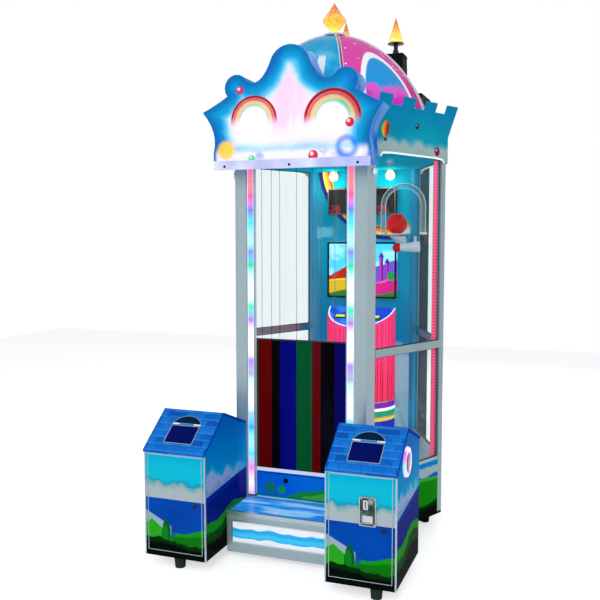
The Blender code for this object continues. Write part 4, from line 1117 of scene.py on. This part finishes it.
# Step
def wave_paint():
    """A band of blue water between pale shores."""
    p = Paint("wave_print", 0xE8ECF2, 0.2)
    x, z = p.x, p.z
    wave = (x * 26).sine() * 0.0035 + (x * 61 + 2).sine() * 0.0018 + p.wobble(24, 2, 0.014, (1, 1, 0.2))
    p.lay(0x96C8E8, (z + wave * 1.6).band(0.146, 0.150, 0.002) * 0.6)
    p.lay(0x14A8E2, (z + wave).band(0.102, 0.147, 0.0018))
    p.lay(0x3CC4F0, (z + wave * 0.7).band(0.108, 0.128, 0.008) * 0.8)
    p.lay(0xCED4DE, (z + wave).fall(0.089, 0.008) * 0.5)
    p.lay(0xBEC4D6, z.rise(0.172, 0.006) * 0.6)
    return p.grain(90, 0.0002, 0.08).done(0.42, 0.4)


def step():
    p = Paint("tread_print", 0x28A0EC, 0.18)
    p.lay(0x0474D8, p.noise(4, 2, (1, 2, 1)).rise(0.48, 0.16) * 0.6)
    # Painted highlights: pale streaks running across the tread's width, and a small pale pink spot near its
    # front.
    p.lay(0xA0DCFC, p.noise(7, 2, (0.5, 3.2, 1)).rise(0.54, 0.08) * 0.85)
    p.lay(0xECCEFF, p.reach(p.x, p.y, (-0.05, STEP_FRONT + 0.05)).fall(0.012, 0.012) * 0.7)
    finish_nodes(p.grain(400, 0.00004, 0.05).done(0.42, 0.3), "step_tread")
    finish_nodes(ALUMINIUM, "step_frame")
    # A slim angle frames the tread.
    low, high = TREAD_LOW, TREAD_HIGH
    angle = (rounded(low.x - 0.0002, high.x + 0.0002, low.y - 0.0006, FRONT_Y - 0.0008, 0.003, 3),
             rounded(low.x + 0.011, high.x - 0.011, low.y + 0.013, FRONT_Y - 0.010, 0.003, 3))
    piece("tread_frame", flat(angle, high.z + 0.0002, 0.0026), BRIGHT, bevel=0.0008)
    nose = block((low.x, low.y - 0.0024, high.z - 0.017), (high.x, low.y - 0.0003, high.z + 0.0028))
    piece("tread_nose", nose, BRIGHT, bevel=0.0007)
    # The lit picture sits in the frame's recess behind a bright bead.
    panel = upright(rounded(-0.2488, 0.2488, 0.0792, 0.1788, 0.001, 1), STEP_FRONT + 0.0029, 0.0016)
    piece("wave_panel", panel, wave_paint(), "sign_face", bevel=0.0003)
    bead = rim(-0.2535, 0.2535, 0.0745, 0.1835, 0.0057, 0.003, 0.0015, 3)
    piece("wave_bead", upright(bead, STEP_FRONT - 0.0002, 0.0018), BRIGHT, bevel=0.0005)
    screws("step_screws", [(x, STEP_FRONT - 0.0002, z) for x in (-0.265, 0.265) for z in (0.06, 0.13, 0.196)],
           -Y, 0.0036, 0.0014, STEEL, "aluminium")


# Coin houses
def house_paint(side):
    """Sky over a cloud bank, a hard blue band, hills and dark foreground, plainer on the gable sides."""
    low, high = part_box(f"kiosk_body_{side}")
    p = Paint(f"house_print_{side}", 0x00B0D8, 0.28)
    u, z = p.x - (low.x + high.x) / 2, p.z
    lumps = p.wobble(17, 2, 0.085, (1, 1, 0.9), 0.4)
    p.lay(0x14C4D6, z.band(0.40, 0.50, 0.03) * 0.5)
    p.lay(0x1696B0, (z + lumps * 0.9).fall(0.408, 0.006) * 0.8)
    p.lay(0x78ACB2, (z + lumps).fall(0.396, 0.005))
    p.lay(0xAAB8BE, (z + lumps * 1.2).fall(0.382, 0.012))
    below = z.fall(0.3255, 0.0007)
    p.lay(0x004AB0, below)
    p.lay(0x003A9E, below * p.noise(5).rise(0.5, 0.15) * 0.6)
    # A pale wedge, a hill and a round tree at the left
    p.lay(0x96B0BE, (z + u * 0.5).fall(0.192, 0.002) * z.rise(0.16, 0.004) * u.fall(-0.02, 0.004))
    peak = abs(u + 0.118) * 0.75 + p.wobble(40, 2, 0.006)
    p.lay(0x28A81E, (z + peak).fall(0.228, 0.002) * u.fall(0.0, 0.002))
    for place, radius, blur, tone in (((-0.085, 0.099), 0.043, 0.003, 0x025C1E),
                                      ((-0.094, 0.103), 0.026, 0.006, 0x0A8022)):
        p.lay(tone, (p.reach(u * 1.9, z * 0.62, place) + p.wobble(55, 2, 0.012)).fall(radius, blur))
    # A hill at the right, over the dark foreground
    hill = (u - 0.06).sine() * -0.12 + (u * 34).sine() * 0.007
    p.lay(0x169614, (z + hill).fall(0.182, 0.002) * u.rise(0.0, 0.02))
    p.lay(0x08760E, (z + hill * 0.6).fall(0.162, 0.006) * u.rise(-0.03, 0.03))
    dark = (u * 15).sine() * 0.012 + p.wobble(34, 3, 0.035)
    p.lay(0x002C06, (z + dark).fall(0.132, 0.004))
    p.lay(0x000802, (z + dark * 0.8).fall(0.112, 0.006))
    # Gable sides
    gable = abs(p.normal("X")).rise(0.6, 0.1)
    run = (p.y - low.y) / (high.y - low.y)
    p.lay(p.ramp(z * 1.6, ((0.0, 0x0078C8), (0.55, 0x28AAD6), (0.72, 0x008CCE),
                           (1.0, 0x0068BE))), gable)
    drift = lumps * 1.5 + run * 0.05
    p.lay(0x46BEDC, gable * (z + drift).fall(0.452, 0.01) * 0.6)
    p.lay(0xB0A0D6, gable * (z + drift).fall(0.436, 0.01) * run.fall(0.75, 0.3) * 0.7)
    p.lay(0x6496BE, gable * (z + drift * 0.7).fall(0.39, 0.012) * 0.7)
    sea = z - run * 0.03
    p.lay(0x042896, gable * sea.fall(0.345))
    p.lay(0x04146E, gable * sea.fall(0.318, 0.01) * 0.7)
    hill = (run * 7).sine() * 0.016 + p.wobble(30, 2, 0.03)
    p.lay(0x148A1A, gable * (z + hill).fall(0.232, 0.003))
    p.lay(0x06460A, gable * (z + hill * 1.4).fall(0.19, 0.008))
    p.lay(0x030C05, gable * (z + hill).fall(0.142, 0.012))
    # The print glows a little: painted light.
    return p.grain(*PRINT_GRAIN).done(0.16, 0.05)


def shingle_paint():
    """Courses of printed shingles, each lighter at its lower edge, with odd ones toned."""
    p = Paint("shingle_print", 0x0A60C4, 0.36)
    course, width = 0.0235, 0.048
    row = (0.8 - p.z) / course
    number, inside = row.floor(), row % 1
    column = abs(p.x) / width + (number % 2) * 0.5
    tone = ((column.floor() * 12.99 + number * 78.2).sine() * 43.7) % 1
    p.lay(0x1882DE, tone.rise(0.5, 0.3) * 0.6)
    p.lay(0x0446AA, tone.fall(0.25, 0.1) * 0.5)
    p.lay(0x3C96E6, inside.rise(0.72, 0.14) * 0.45)
    p.lay(0x003E96, inside.rise(0.94, 0.03) * 0.8)
    p.lay(0x00429C, column.stripe().rise(0.475, 0.012) * 0.6)
    # The shingles glow a little: painted light.
    return p.grain(inside * 0.8 + p.noise(300) * 0.05, 0.0010, 0.06).done(0.12, 0.05)


def house_trims(side):
    """Bright corner angles on a coin house, and a thin bright bead and a lock on its door."""
    low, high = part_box(f"kiosk_body_{side}")
    front, eave, door = low.y, 0.536, f"kiosk_door_{side}"
    angles = [block((x0, front - 0.0014, low.z), (x1, front + depth, eave)) for x0, x1, depth in (
        (low.x, low.x + 0.0045, -0.0002), (low.x - 0.0012, low.x - 0.0002, 0.006),
        (high.x - 0.0045, high.x, -0.0002), (high.x + 0.0002, high.x + 0.0012, 0.006))]
    head = block((low.x + 0.008, front - 0.0012, eave - 0.008),
                 (high.x - 0.008, front - 0.0002, eave - 0.003))
    piece(f"house_angles_{side}", [*angles, head], BRIGHT, bevel=0.0003)
    bead = upright(rim(*front_of(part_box(door), 0.0003), 0.0025, 0.0015, 0.001, 2), front - SKIN, 0.0012)
    piece(f"door_bead_{side}", bead, BRIGHT, body=door, bevel=0.0003)
    place = (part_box(door)[1].x - 0.037, front - 0.0031, 0.307)
    key_lock(f"door_lock_{{}}_{side}", place, -Y, 0.0098, DARK_METAL, BLACK_PLASTIC, door)


def roof_fittings(side):
    """A bare navy plaque and its arched header on the front slope, and boards along the roof's ends."""
    low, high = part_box(f"kiosk_roof_{side}")
    house_top, overhang, pitch = 0.549, 0.007, (0.692 - 0.549) / 0.195
    eave, ridge = (low.y, house_top - overhang * pitch), (FRONT_Y - 0.25, high.z)
    up = Vector((0, ridge[0] - eave[0], ridge[1] - eave[1])).normalized()
    out = X.cross(up)
    place = Vector(((low.x + high.x) / 2, *eave)) + out * 0.0004

    def on_slope(outline, thickness, lift=0.0):
        """A plate on the front slope, drawn across it from the middle and up it from the eave."""
        return slab(outline, place + out * lift, X, up, thickness)

    # The navy plaque glows faintly: painted light.
    navy = moulded(f"plaque_navy_{side}", 0x000E60, 0.22, 0.12, 0.05)
    plate = on_slope(rounded(-0.070, 0.070, 0.050, 0.153, 0.003, 3), 0.0022)
    piece(f"plaque_{side}", plate, navy, "shingle_print", bevel=0.0005)
    border = on_slope(rim(-0.0715, 0.0715, 0.0485, 0.1545, 0.003, 0.004, 0.003, 3), 0.0031)
    piece(f"plaque_frame_{side}", border, BRIGHT, bevel=0.0005)
    centre = (0, 0.1335)
    arch = [(-0.072, 0.166), (0.072, 0.166)] + arc(centre, 0.0788, 32, 148, 14)
    # The header and its rim glow faintly: painted light.
    dark = moulded(f"header_{side}", 0x02224A, 0.25, 0.05, 0.05)
    piece(f"plaque_header_{side}", on_slope(arch, 0.0024), dark, "shingle_print", bevel=0.0006)
    crest = ([(-0.074, 0.164), (0.074, 0.164)] + arc(centre, 0.0808, 31, 149, 14),
             [(-0.0705, 0.1675), (0.0705, 0.1675)] + arc(centre, 0.0773, 32.5, 147.5, 14))
    piece(f"header_rim_{side}", on_slope(crest, 0.003),
          moulded(f"header_rim_{side}", 0x78AABE, 0.3, 0.05), "aluminium", bevel=0.0004)
    bars = [on_slope(rounded(x0, x1, 0.1595, 0.1655, 0.0028, 3), 0.0030, 0.0005)
            for x0, x1 in ((-0.072, -0.036), (0.036, 0.072))]
    piece(f"header_bars_{side}", bars, moulded(f"bar_white_{side}", 0xE8EEF4, 0.3, 0.3), "sign_face",
          bevel=0.0004)
    # Barge boards follow the two slopes at each end.
    path = (eave, ridge, (high.y, 0.600))
    outline = [(y, z + 0.0012) for y, z in path] + [(y, z - 0.0115) for y, z in reversed(path)]
    boards = [bar(low.x - 0.0004, low.x + 0.0035, outline), bar(high.x - 0.0035, high.x + 0.0004, outline)]
    piece(f"barge_boards_{side}", boards, moulded(f"barge_{side}", 0x0654BA, 0.35), "shingle_print",
          bevel=0.0008)


def buttons():
    """Lit ring and domed cap on each coin house's outer side."""
    low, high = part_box("button_ring_right")
    centre = ((low.y + high.y) / 2, (low.z + high.z) / 2)
    p = Paint("ring_glow", 0xFAC8FA, 0.15)
    angle = (p.z - centre[1]).turn(p.y - centre[0])
    p.lay(0xCE46E8, (angle * 3).sine().rise(0.0, 0.6) * 0.9)
    p.lay(0x6EC8FA, (angle * 2 + 1).sine().rise(0.35, 0.4) * 0.8)
    p.lay(WHITE, p.reach(p.y, p.z, centre).band(0.052, 0.058, 0.003) * 0.8)
    glow = p.done(0.9, 0.8)
    p = Paint("cap_red", 0x78083C, 0.1)
    reach = p.reach(p.y, p.z, centre)
    # Painted highlight and shade on the dome: lighter in the middle with a pale pink centre, and a dark ring
    # on its shoulder.
    p.lay(0xBE145A, reach.fall(0.03, 0.012))
    p.lay(0x3C0428, reach.band(0.0305, 0.034))
    p.lay(0xE678BE, reach.fall(0.012, 0.01) * 0.6)
    # The cap glows a little: painted light.
    red = p.done(0.22, 1.0)
    ring = [(0.0434, 0.0004), (0.0434, 0.0118), (0.0455, 0.0123), (0.0475, 0.0108), (0.0525, 0.0118),
            (0.0565, 0.0121), (0.0615, 0.0105), (0.0642, 0.0068), (0.065, 0.003), (0.065, 0.0004)]
    cap = [(0, 0.0159), (0.012, 0.0156), (0.024, 0.0146), (0.0335, 0.0130), (0.0395, 0.0108),
           (0.0420, 0.0080), (0.0425, 0.004), (0.0425, -0.0098), (0, -0.0098)]
    for end, side in enumerate(SIDES):
        place, axis = (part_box(f"kiosk_body_{side}")[end].x, *centre), (-X, X)[end]
        obj = piece(f"button_bezel_{side}", lathe(ring, place, axis, 72), glow, "lit_pink")
        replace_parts(obj, f"button_ring_{side}")
        obj = piece(f"button_dome_{side}", lathe(cap, place, axis, 72), red, "red_plastic", f"button_{side}")
        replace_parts(obj, f"button_cap_{side}")


def coin_entry():
    """Coin plate details: a raised border, slot bezel, reject button, return cup lip and screws."""
    low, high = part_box("coin_plate")
    front, ride = low.y - SKIN, "kiosk_door_right"
    p = Paint("coin_plate_finish", 0x304A4A, 0.34, 0.75)
    p.lay(0x688482, p.noise(60, 3).rise(0.56, 0.1) * 0.5)
    p.lay(0x0E1E20, p.noise(24).fall(0.42, 0.08) * 0.6)
    finish_nodes(p.grain(p.cells(420), 0.0004, 0.2).done(), "coin_plate")
    finish_nodes(STEEL, "coin_return_flap")
    finish_nodes(GREY_PLASTIC, "coin_mech")
    finish_nodes(DARK_METAL, "cash_box")
    border = rim(*front_of((low, high), 0.0004), 0.003, 0.004, 0.003, 4)
    slot = rounded(0.4445, 0.4656, 0.389, 0.429, 0.005, 4), rounded(0.4532, 0.457, 0.3945, 0.4235, 0.0015, 4)
    cup = rim(low.x + 0.0125, high.x - 0.0125, low.z + 0.0125, low.z + 0.0465, 0.0033, 0.004, 0.002, 4)
    piece("coin_border", upright(border, front, 0.0014), STEEL, body=ride, bevel=0.0005)
    piece("coin_bezel", upright(slot, front, 0.0042), STEEL, body=ride, bevel=0.0012)
    x, z = 0.475, 0.423
    collar = [(0.0096, 0), (0.0096, 0.003), (0.0108, 0.0036), (0.0122, 0.002), (0.0124, 0)]
    piece("reject_collar", lathe(collar, (x, front, z), -Y, 32), STEEL, body=ride)
    cap = [(0, 0.0), (0.0052, 0.0003), (0.0072, 0.0012), (0.0087, 0.0034), (0.0087, 0.0175), (0, 0.0175)]
    place = (x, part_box("coin_reject_button")[0].y, z)
    obj = piece("reject_cap", lathe(cap, place, Y, 36), moulded("reject_chrome", 0xAAB0B4, 0.15),
                "dark_metal", "coin_reject")
    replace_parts(obj, "coin_reject_button")
    piece("return_lip", upright(cup, front, 0.0032), STEEL, body=ride, bevel=0.0009)
    x0, x1, z0, z1 = front_of((low, high), 0.0085)
    places = [(x, front, z) for x in (x0, x1) for z in (z0, z1)]
    screws("coin_screws", places, -Y, 0.0032, 0.0014, STEEL, "dark_metal", ride)


def houses():
    shingles = shingle_paint()
    for side in SIDES:
        finish_nodes(house_paint(side), f"kiosk_body_{side}", f"kiosk_door_{side}")
        finish_nodes(shingles, f"kiosk_roof_{side}")
        finish_nodes(RUBBER, f"kiosk_base_{side}")
        house_trims(side)
        roof_fittings(side)
    buttons()
    coin_entry()


# Inside the cabinet
SEGMENTS = {"0": "abcdef", "2": "abged", "5": "afgcd", "8": "abcdefg", "9": "abcdfg"}


def digits(text, low, high, y, width):
    """Seven-segment digits that fill a rectangle in x and z, in front of a display at y."""
    shapes = []
    pitch, margin, half = (high[0] - low[0]) / len(text), 0.16, width / 2
    for k, character in enumerate(text):
        left, right = low[0] + (k + margin) * pitch, low[0] + (k + 1 - margin) * pitch
        bottom, top = low[1], high[1]
        middle = (bottom + top) / 2
        ends = {"a": (left, top, right, top), "b": (right, middle, right, top),
                "c": (right, bottom, right, middle), "d": (left, bottom, right, bottom),
                "e": (left, bottom, left, middle), "f": (left, middle, left, top),
                "g": (left, middle, right, middle)}
        for segment in SEGMENTS[character]:
            x0, z0, x1, z1 = ends[segment]
            if z0 == z1:
                outline = [(x0 + half, z0), (x0 + width, z0 - half), (x1 - width, z0 - half), (x1 - half, z0),
                           (x1 - width, z0 + half), (x0 + width, z0 + half)]
            else:
                outline = [(x0, z0 + half), (x0 + half, z0 + width), (x0 + half, z1 - width), (x0, z1 - half),
                           (x0 - half, z1 - width), (x0 - half, z0 + width)]
            shapes.append(upright(outline, y, 0.0005))
    return shapes


def wall_picture():
    """The back wall: deep teal sky, a rainbow at the upper left and soft clouds low down."""
    p = Paint("wall_print", 0x007C9E, 0.35)
    x, z = p.x, p.z
    p.lay(0x0096B4, p.noise(3).rise(0.5, 0.2) * 0.7)
    p.lay(0x0068A4, z.fall(1.15, 0.3) * 0.6)
    reach, edges = p.reach(x, z, (0.168, 1.936)), (0.451, 0.425, 0.406, 0.391, 0.377, 0.362)
    tones = (0x1A2478, 0xF0C828, 0xEE821E, 0xCE2832, 0x1EA06E)
    for outer, inner, tone in zip(edges, edges[1:], tones):
        p.lay(tone, reach.band(inner, outer, 0.002))
    lumps = p.wobble(12, 3, 0.1, (1, 1, 0.6))
    p.lay(0x6EB0C4, (z + lumps).fall(0.86, 0.01) * 0.7)
    p.lay(0x96BAC8, (z + lumps).fall(0.80, 0.02) * 0.7)
    p.lay(0x78BED6, (z + lumps).band(1.50, 1.56, 0.01) * abs(x).rise(0.19, 0.03) * 0.6)
    # The print glows: painted light.
    finish_nodes(p.grain(*PRINT_GRAIN).done(0.44, 0.05), "back_wall")


def score_display():
    """Four read-outs in a black case."""
    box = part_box("scoreboard")
    front, tall = box[0].y, 0.040
    p = Paint("score_case", 0x08090C, 0.2)
    p.lay(0x14161C, p.noise(40) * 0.5)
    finish_nodes(p.grain(300, 0.0001, 0.06).done(coat=0.6), "scoreboard")
    shapes = []
    for text, x0, x1, z in (("28", -0.190, -0.128, 1.646), ("05", 0.100, 0.168, 1.646),
                            ("0", -0.088, -0.060, 1.726), ("9", 0.060, 0.088, 1.726)):
        shapes += digits(text, (x0, z), (x1, z + tall), front - 0.0004, 0.0046)
    piece("score_digits", shapes, moulded("digit_red", 0xD61418, 0.3, 0.6), "display_black")
    bezel = upright(rim(*front_of(box, 0.001), 0.008, 0.006, 0.004, 4), front - 0.0002, 0.0022)
    piece("score_bezel", bezel, GREY_PLASTIC, bevel=0.0006)


def backlit_picture():
    """A backlit landscape of plain hills and towers under a bright sky."""
    p = Paint("picture_print", 0x46C8F0, 0.2)
    x, z = p.x, p.z
    p.lay(0xAAE8FA, p.noise(9, 3, (1, 1, 1.6)).rise(0.52, 0.1) * 0.8)
    far = (z + (x * 21).sine() * 0.02 + p.wobble(20, 2, 0.03)).fall(1.345, 0.004)
    p.lay(0x6E46BE, far * x.rise(-0.08, 0.01))
    for u, half, top in ((-0.035, 0.012, 1.43), (0.0, 0.016, 1.45), (0.042, 0.012, 1.40),
                         (0.075, 0.009, 1.37), (0.122, 0.012, 1.385), (0.158, 0.009, 1.35)):
        p.lay(0x781482, abs(x - u).fall(half) * z.fall(top))
        p.lay(0xBA3CB0, abs(x - u + half * 0.4).fall(half * 0.3) * z.fall(top))
        p.lay(0x462896, (abs(x - u) * 1.8 + z).fall(top + 0.03) * z.rise(top - 0.002))
    hill, right = z + (x * 15 + 1).sine() * 0.022 + p.wobble(26, 2, 0.03), x.rise(-0.06, 0.005)
    p.lay(0xC41478, hill.fall(1.245, 0.004) * right)
    p.lay(0xEC5AAA, hill.band(1.237, 1.246, 0.002) * right * 0.8)
    edge, left = x + 0.215, x.fall(-0.045, 0.01)
    p.lay(0xB01E14, (z - edge * 0.55 + p.wobble(40, 2, 0.02)).fall(1.262, 0.004) * left)
    p.lay(0xCEA818, (z - edge * 0.1).fall(1.243, 0.003) * left)
    p.lay(0xECCE3C, (z - edge * 0.1).band(1.236, 1.244, 0.002) * left)
    p.lay(0x286E1E, (z + (x * 19).sine() * 0.014).fall(1.172, 0.004))
    p.lay(0x148C3C, (p.reach(x, z, (0.182, 1.27)) + p.wobble(60, 2, 0.02)).fall(0.026, 0.004))
    finish_nodes(p.grain(60, 0.0001, 0.05).done(0.8, 0.1), "picture_panel")
    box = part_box("picture_panel")
    bezel = upright(rim(*front_of(box, 0.0005), 0.0115, 0.008, 0.006, 4), box[0].y - 0.0002, 0.003)
    piece("picture_bezel", bezel, BLACK_PLASTIC, bevel=0.0009)


def desk():
    """Half-round lit desk: ribbed red-pink sides, a blue sloped top with two read-outs and coloured bands."""
    low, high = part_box("console")
    radius = (high.x - low.x) / 2
    p = Paint("desk_print", 0xE21046, 0.25)
    z, across, along = p.z, p.x, p.y - high.y
    ribs = (along.turn(across) * 11.5).stripe()
    # Painted shade and highlight: each rib is darker in its groove and lighter on its crest.
    p.lay(0x78042C, ribs.fall(0.12, 0.06))
    p.lay(0xFF78A0, ribs.rise(0.38, 0.1) * 0.5)
    p.lay(0xF64696, z.rise(0.74, 0.1) * 0.5)
    edges = (0.366, 0.42, 0.446, 0.48, 0.497, 0.53)
    tones = (0x1428AA, 0xF0C428, 0x14966E, WHITE, 0x781EA0)
    for bottom, top, tone in zip(edges, edges[1:], tones):
        p.lay(tone, z.band(bottom, top))
    slope = p.normal("Z").rise(0.5, 0.05)
    p.lay(0x143CC4, slope)
    p.lay(0x3282EC, slope * p.noise(8).rise(0.54, 0.1) * 0.8)
    p.lay(0xE6ECFA, slope * p.reach(across, along).rise(radius - 0.008))
    finish_nodes(p.grain(ribs + p.noise(120) * 0.1, 0.0012, 0.05).done(0.75, 0.05), "console")

    def top_at(y):
        """The sloped top's height."""
        return 0.787 + (y - FRONT_Y - 0.5) * 0.4888

    # Vertical ribs stand on the desk's round side, between two bright bands.
    centre = (0, high.y)
    rods = [tube([(x, y, 0.535), (x, y, top_at(y) - 0.012)], 0.0042, 8)
            for x, y in arc(centre, radius + 0.0002, 180, 360, 22)[1:-1]]
    piece("desk_ribs", rods, moulded("desk_rib", 0xF02860, 0.2, 0.6, 0.1), "lit_pink")
    hoop_line = arc(centre, radius + 0.0022, 180, 360, 32) + arc(centre, radius + 0.0002, 360, 180, 32)
    piece("desk_bands", [flat(hoop_line, z0, 0.005) for z0 in (0.531, 0.44)], BRIGHT, bevel=0.0004)
    # Read-outs lie on the slope, each in a small black case.
    up = Vector((0, 0.8, 0.391)).normalized()
    out = X.cross(up)
    cases, lit = [], []
    for x in (-0.105, 0.105):
        y = FRONT_Y + 0.995
        place = Vector((x, y, top_at(y))) + out * 0.0003
        cases.append(slab(rounded(-0.036, 0.036, -0.019, 0.019, 0.004, 3), place, X, up, 0.006))
        place = place + out * 0.0061
        lit.append(slab(rounded(-0.029, 0.029, -0.0125, 0.0125, 0.002, 2), place, X, up, 0.0008))
    piece("readout_cases", cases, BLACK_PLASTIC, bevel=0.0012)
    p = Paint("readout_green", 0xCEE63C, 0.2)
    p.lay(0x1E320E, (p.x * 90).stripe().fall(0.14, 0.04) * 0.8)
    piece("readout_faces", lit, p.grain(p.noise(60, 1), 0.0001, 0.05).done(1.0), "display_black")


def ball_paint():
    """Red with a dark seam round its middle."""
    p = Paint("ball_red", 0xD6020C, 0.14)
    p.lay(0x780008, (p.z - 1.573).band(-0.0011, 0.0011, 0.0005))
    p.lay(0xE80E14, p.noise(9) * 0.4)
    # The ball glows a little: painted light.
    return p.grain(260, 0.00004, 0.05).done(0.22, 0.4)


def hoop():
    """A clear hoop on its shelf with a red ball in front, and a small ball on a white horn below."""
    x, y, ball_x = 0.32, FRONT_Y + 0.78, 0.285
    shelf, spring, reach = 1.516, 1.67, 0.111

    def over(radius, depth, foot):
        """A path up one side of the hoop, over its arch and down the other side."""
        curve = [(u, y + depth, z) for u, z in arc((x, spring), radius, 0, 180, 36)]
        return [(x + radius, y + depth, foot), *curve, (x - radius, y + depth, foot)]

    # The white brackets glow faintly: painted light.
    white = moulded("bracket_white", 0xE2E8EC, 0.35, 0.1, 0.1)
    rod = clear("clear_rod", 0xDEF0F0, 0.0, 0.12)
    obj = piece("hoop", tube(over(reach, 0, shelf - 0.006), 0.0138, 24), rod, "clear_glazing", sharp=50)
    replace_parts(obj, "ball_arch")
    # Fine glowing beads run along both edges of the hoop: painted highlights that stand for the glint along
    # its edges.
    edges = [tube(over(reach + side, -0.0075, shelf + 0.003), 0.0011, 8) for side in (0.0128, -0.0128)]
    piece("hoop_edges", edges, moulded("hoop_edge", 0xD6F0F4, 0.2, 0.4, 0.25), "clear_glazing")
    plate = flat(rounded(0.19, 0.44, y - 0.06, y + 0.035, 0.012, 5), shelf - 0.009, 0.0085)
    piece("hoop_shelf", plate, clear("shelf_clear", 0xD6EAEC, 0.1), "clear_glazing", bevel=0.0012)
    sockets = [lathe([(0.0142, 0), (0.0142, 0.010), (0.0165, 0.012), (0.019, 0.009), (0.021, 0.0)],
                     (x + side, y, shelf), steps=32) for side in (-reach, reach)]
    seat = lathe([(0.024, 0.0), (0.0235, 0.0042), (0.026, 0.005), (0.031, 0.0035), (0.032, 0)],
                 (ball_x, y, shelf), steps=40)
    piece("hoop_sockets", [seat, *sockets], white, "aluminium")
    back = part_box("back_wall")[0].y - 0.0004
    arm = bar(0.243, 0.267, [(y - 0.002, shelf - 0.0096), (back, shelf - 0.0096), (back, shelf - 0.06),
                             (back - 0.0116, shelf - 0.06), (y + 0.02, shelf - 0.0165)])
    piece("hoop_arm", arm, white, "aluminium", bevel=0.0012)
    radius = 0.0565
    profile, groove = half_circle(radius, 24), radius - 0.0009
    profile[12:13] = [(radius, 0.0016), (groove, 0.0006), (groove, -0.0006), (radius, -0.0016)]
    solid = lathe(profile, (ball_x, y, 1.5733))
    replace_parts(piece("play_ball", solid, ball_paint(), "red_plastic", "ball", sharp=60), "ball")
    finish_nodes(GLASS, "ball_chute_left", "ball_chute_right")
    # The small ball sits in the open end of a horn that runs sideways from a hanger under the shelf.
    place = (ball_x, y + 0.005, 1.443)
    # The small ball glows a little: painted light.
    piece("small_ball", lathe(half_circle(0.026, 20), place, steps=32),
          moulded("small_ball_red", 0xCE0414, 0.15, 0.22, 0.3), "red_plastic", sharp=60)
    horn = lathe([(0, 0.027), (0.0105, 0.0265), (0.0185, 0.020), (0.0205, 0.021), (0.0235, 0.060),
                  (0.029, 0.112), (0.0305, 0.118), (0.029, 0.123), (0, 0.123)], place, (1, 0, 0.05), 32)
    hanger = block((place[0] + 0.095, place[1] - 0.006, place[2] + 0.006),
                   (place[0] + 0.107, place[1] + 0.006, shelf - 0.0092))
    piece("small_ball_horn", [horn, hanger], white, "aluminium", sharp=40)


def ceiling():
    """Two globe lamps under the roof in front of the back wall, and a ribbed mat on the deck."""
    y, top, drop = FRONT_Y + 1.06, POST_HIGH.z - 0.0004, 0.0325
    cup = [(0, 0.0), (0.030, 0.0), (0.030, 0.004), (0.016, 0.0075), (0, 0.0075)]
    globe = [(radius, drop - height) for radius, height in half_circle(0.027, 24)]
    for name, profile, material, slot, sharp in (
            ("lamp_cups", cup, BRIGHT, "aluminium", 50),
            ("lamp_globes", globe, moulded("lamp_globe", 0xFFE296, 0.3, 2.2), "diffuser", 60)):
        lamps = [lathe(profile, (x, y, top), -Z, 40) for x in (-0.172, 0.176)]
        piece(name, lamps, material, slot, sharp=sharp)
    mat = flat(rounded(-0.29, 0.29, FRONT_Y + 0.06, FRONT_Y + 0.86, 0.01, 4), DECK_TOP + 0.0003, 0.003)
    p = Paint("deck_mat", 0x0E1014, 0.7)
    ridges = (p.x * 90).stripe() * (p.y * 90).stripe()
    # Painted highlight: the raised nubs are lighter than the mat.
    p.lay(0x282C34, ridges.rise(0.12, 0.05) * 0.7)
    piece("deck_mat", mat, p.grain(ridges, 0.002, 0.1).done(), "black_plastic", bevel=0.0008)


camera()
lights()
stage()
sign_trim(sign())
crown()
dome()
finials()
rear()
posts()
glazing()
front_panels()
tray()
step()
houses()
wall_picture()
score_display()
backlit_picture()
desk()
hoop()
ceiling()

bpy.context.scene.view_settings.view_transform = "Standard"
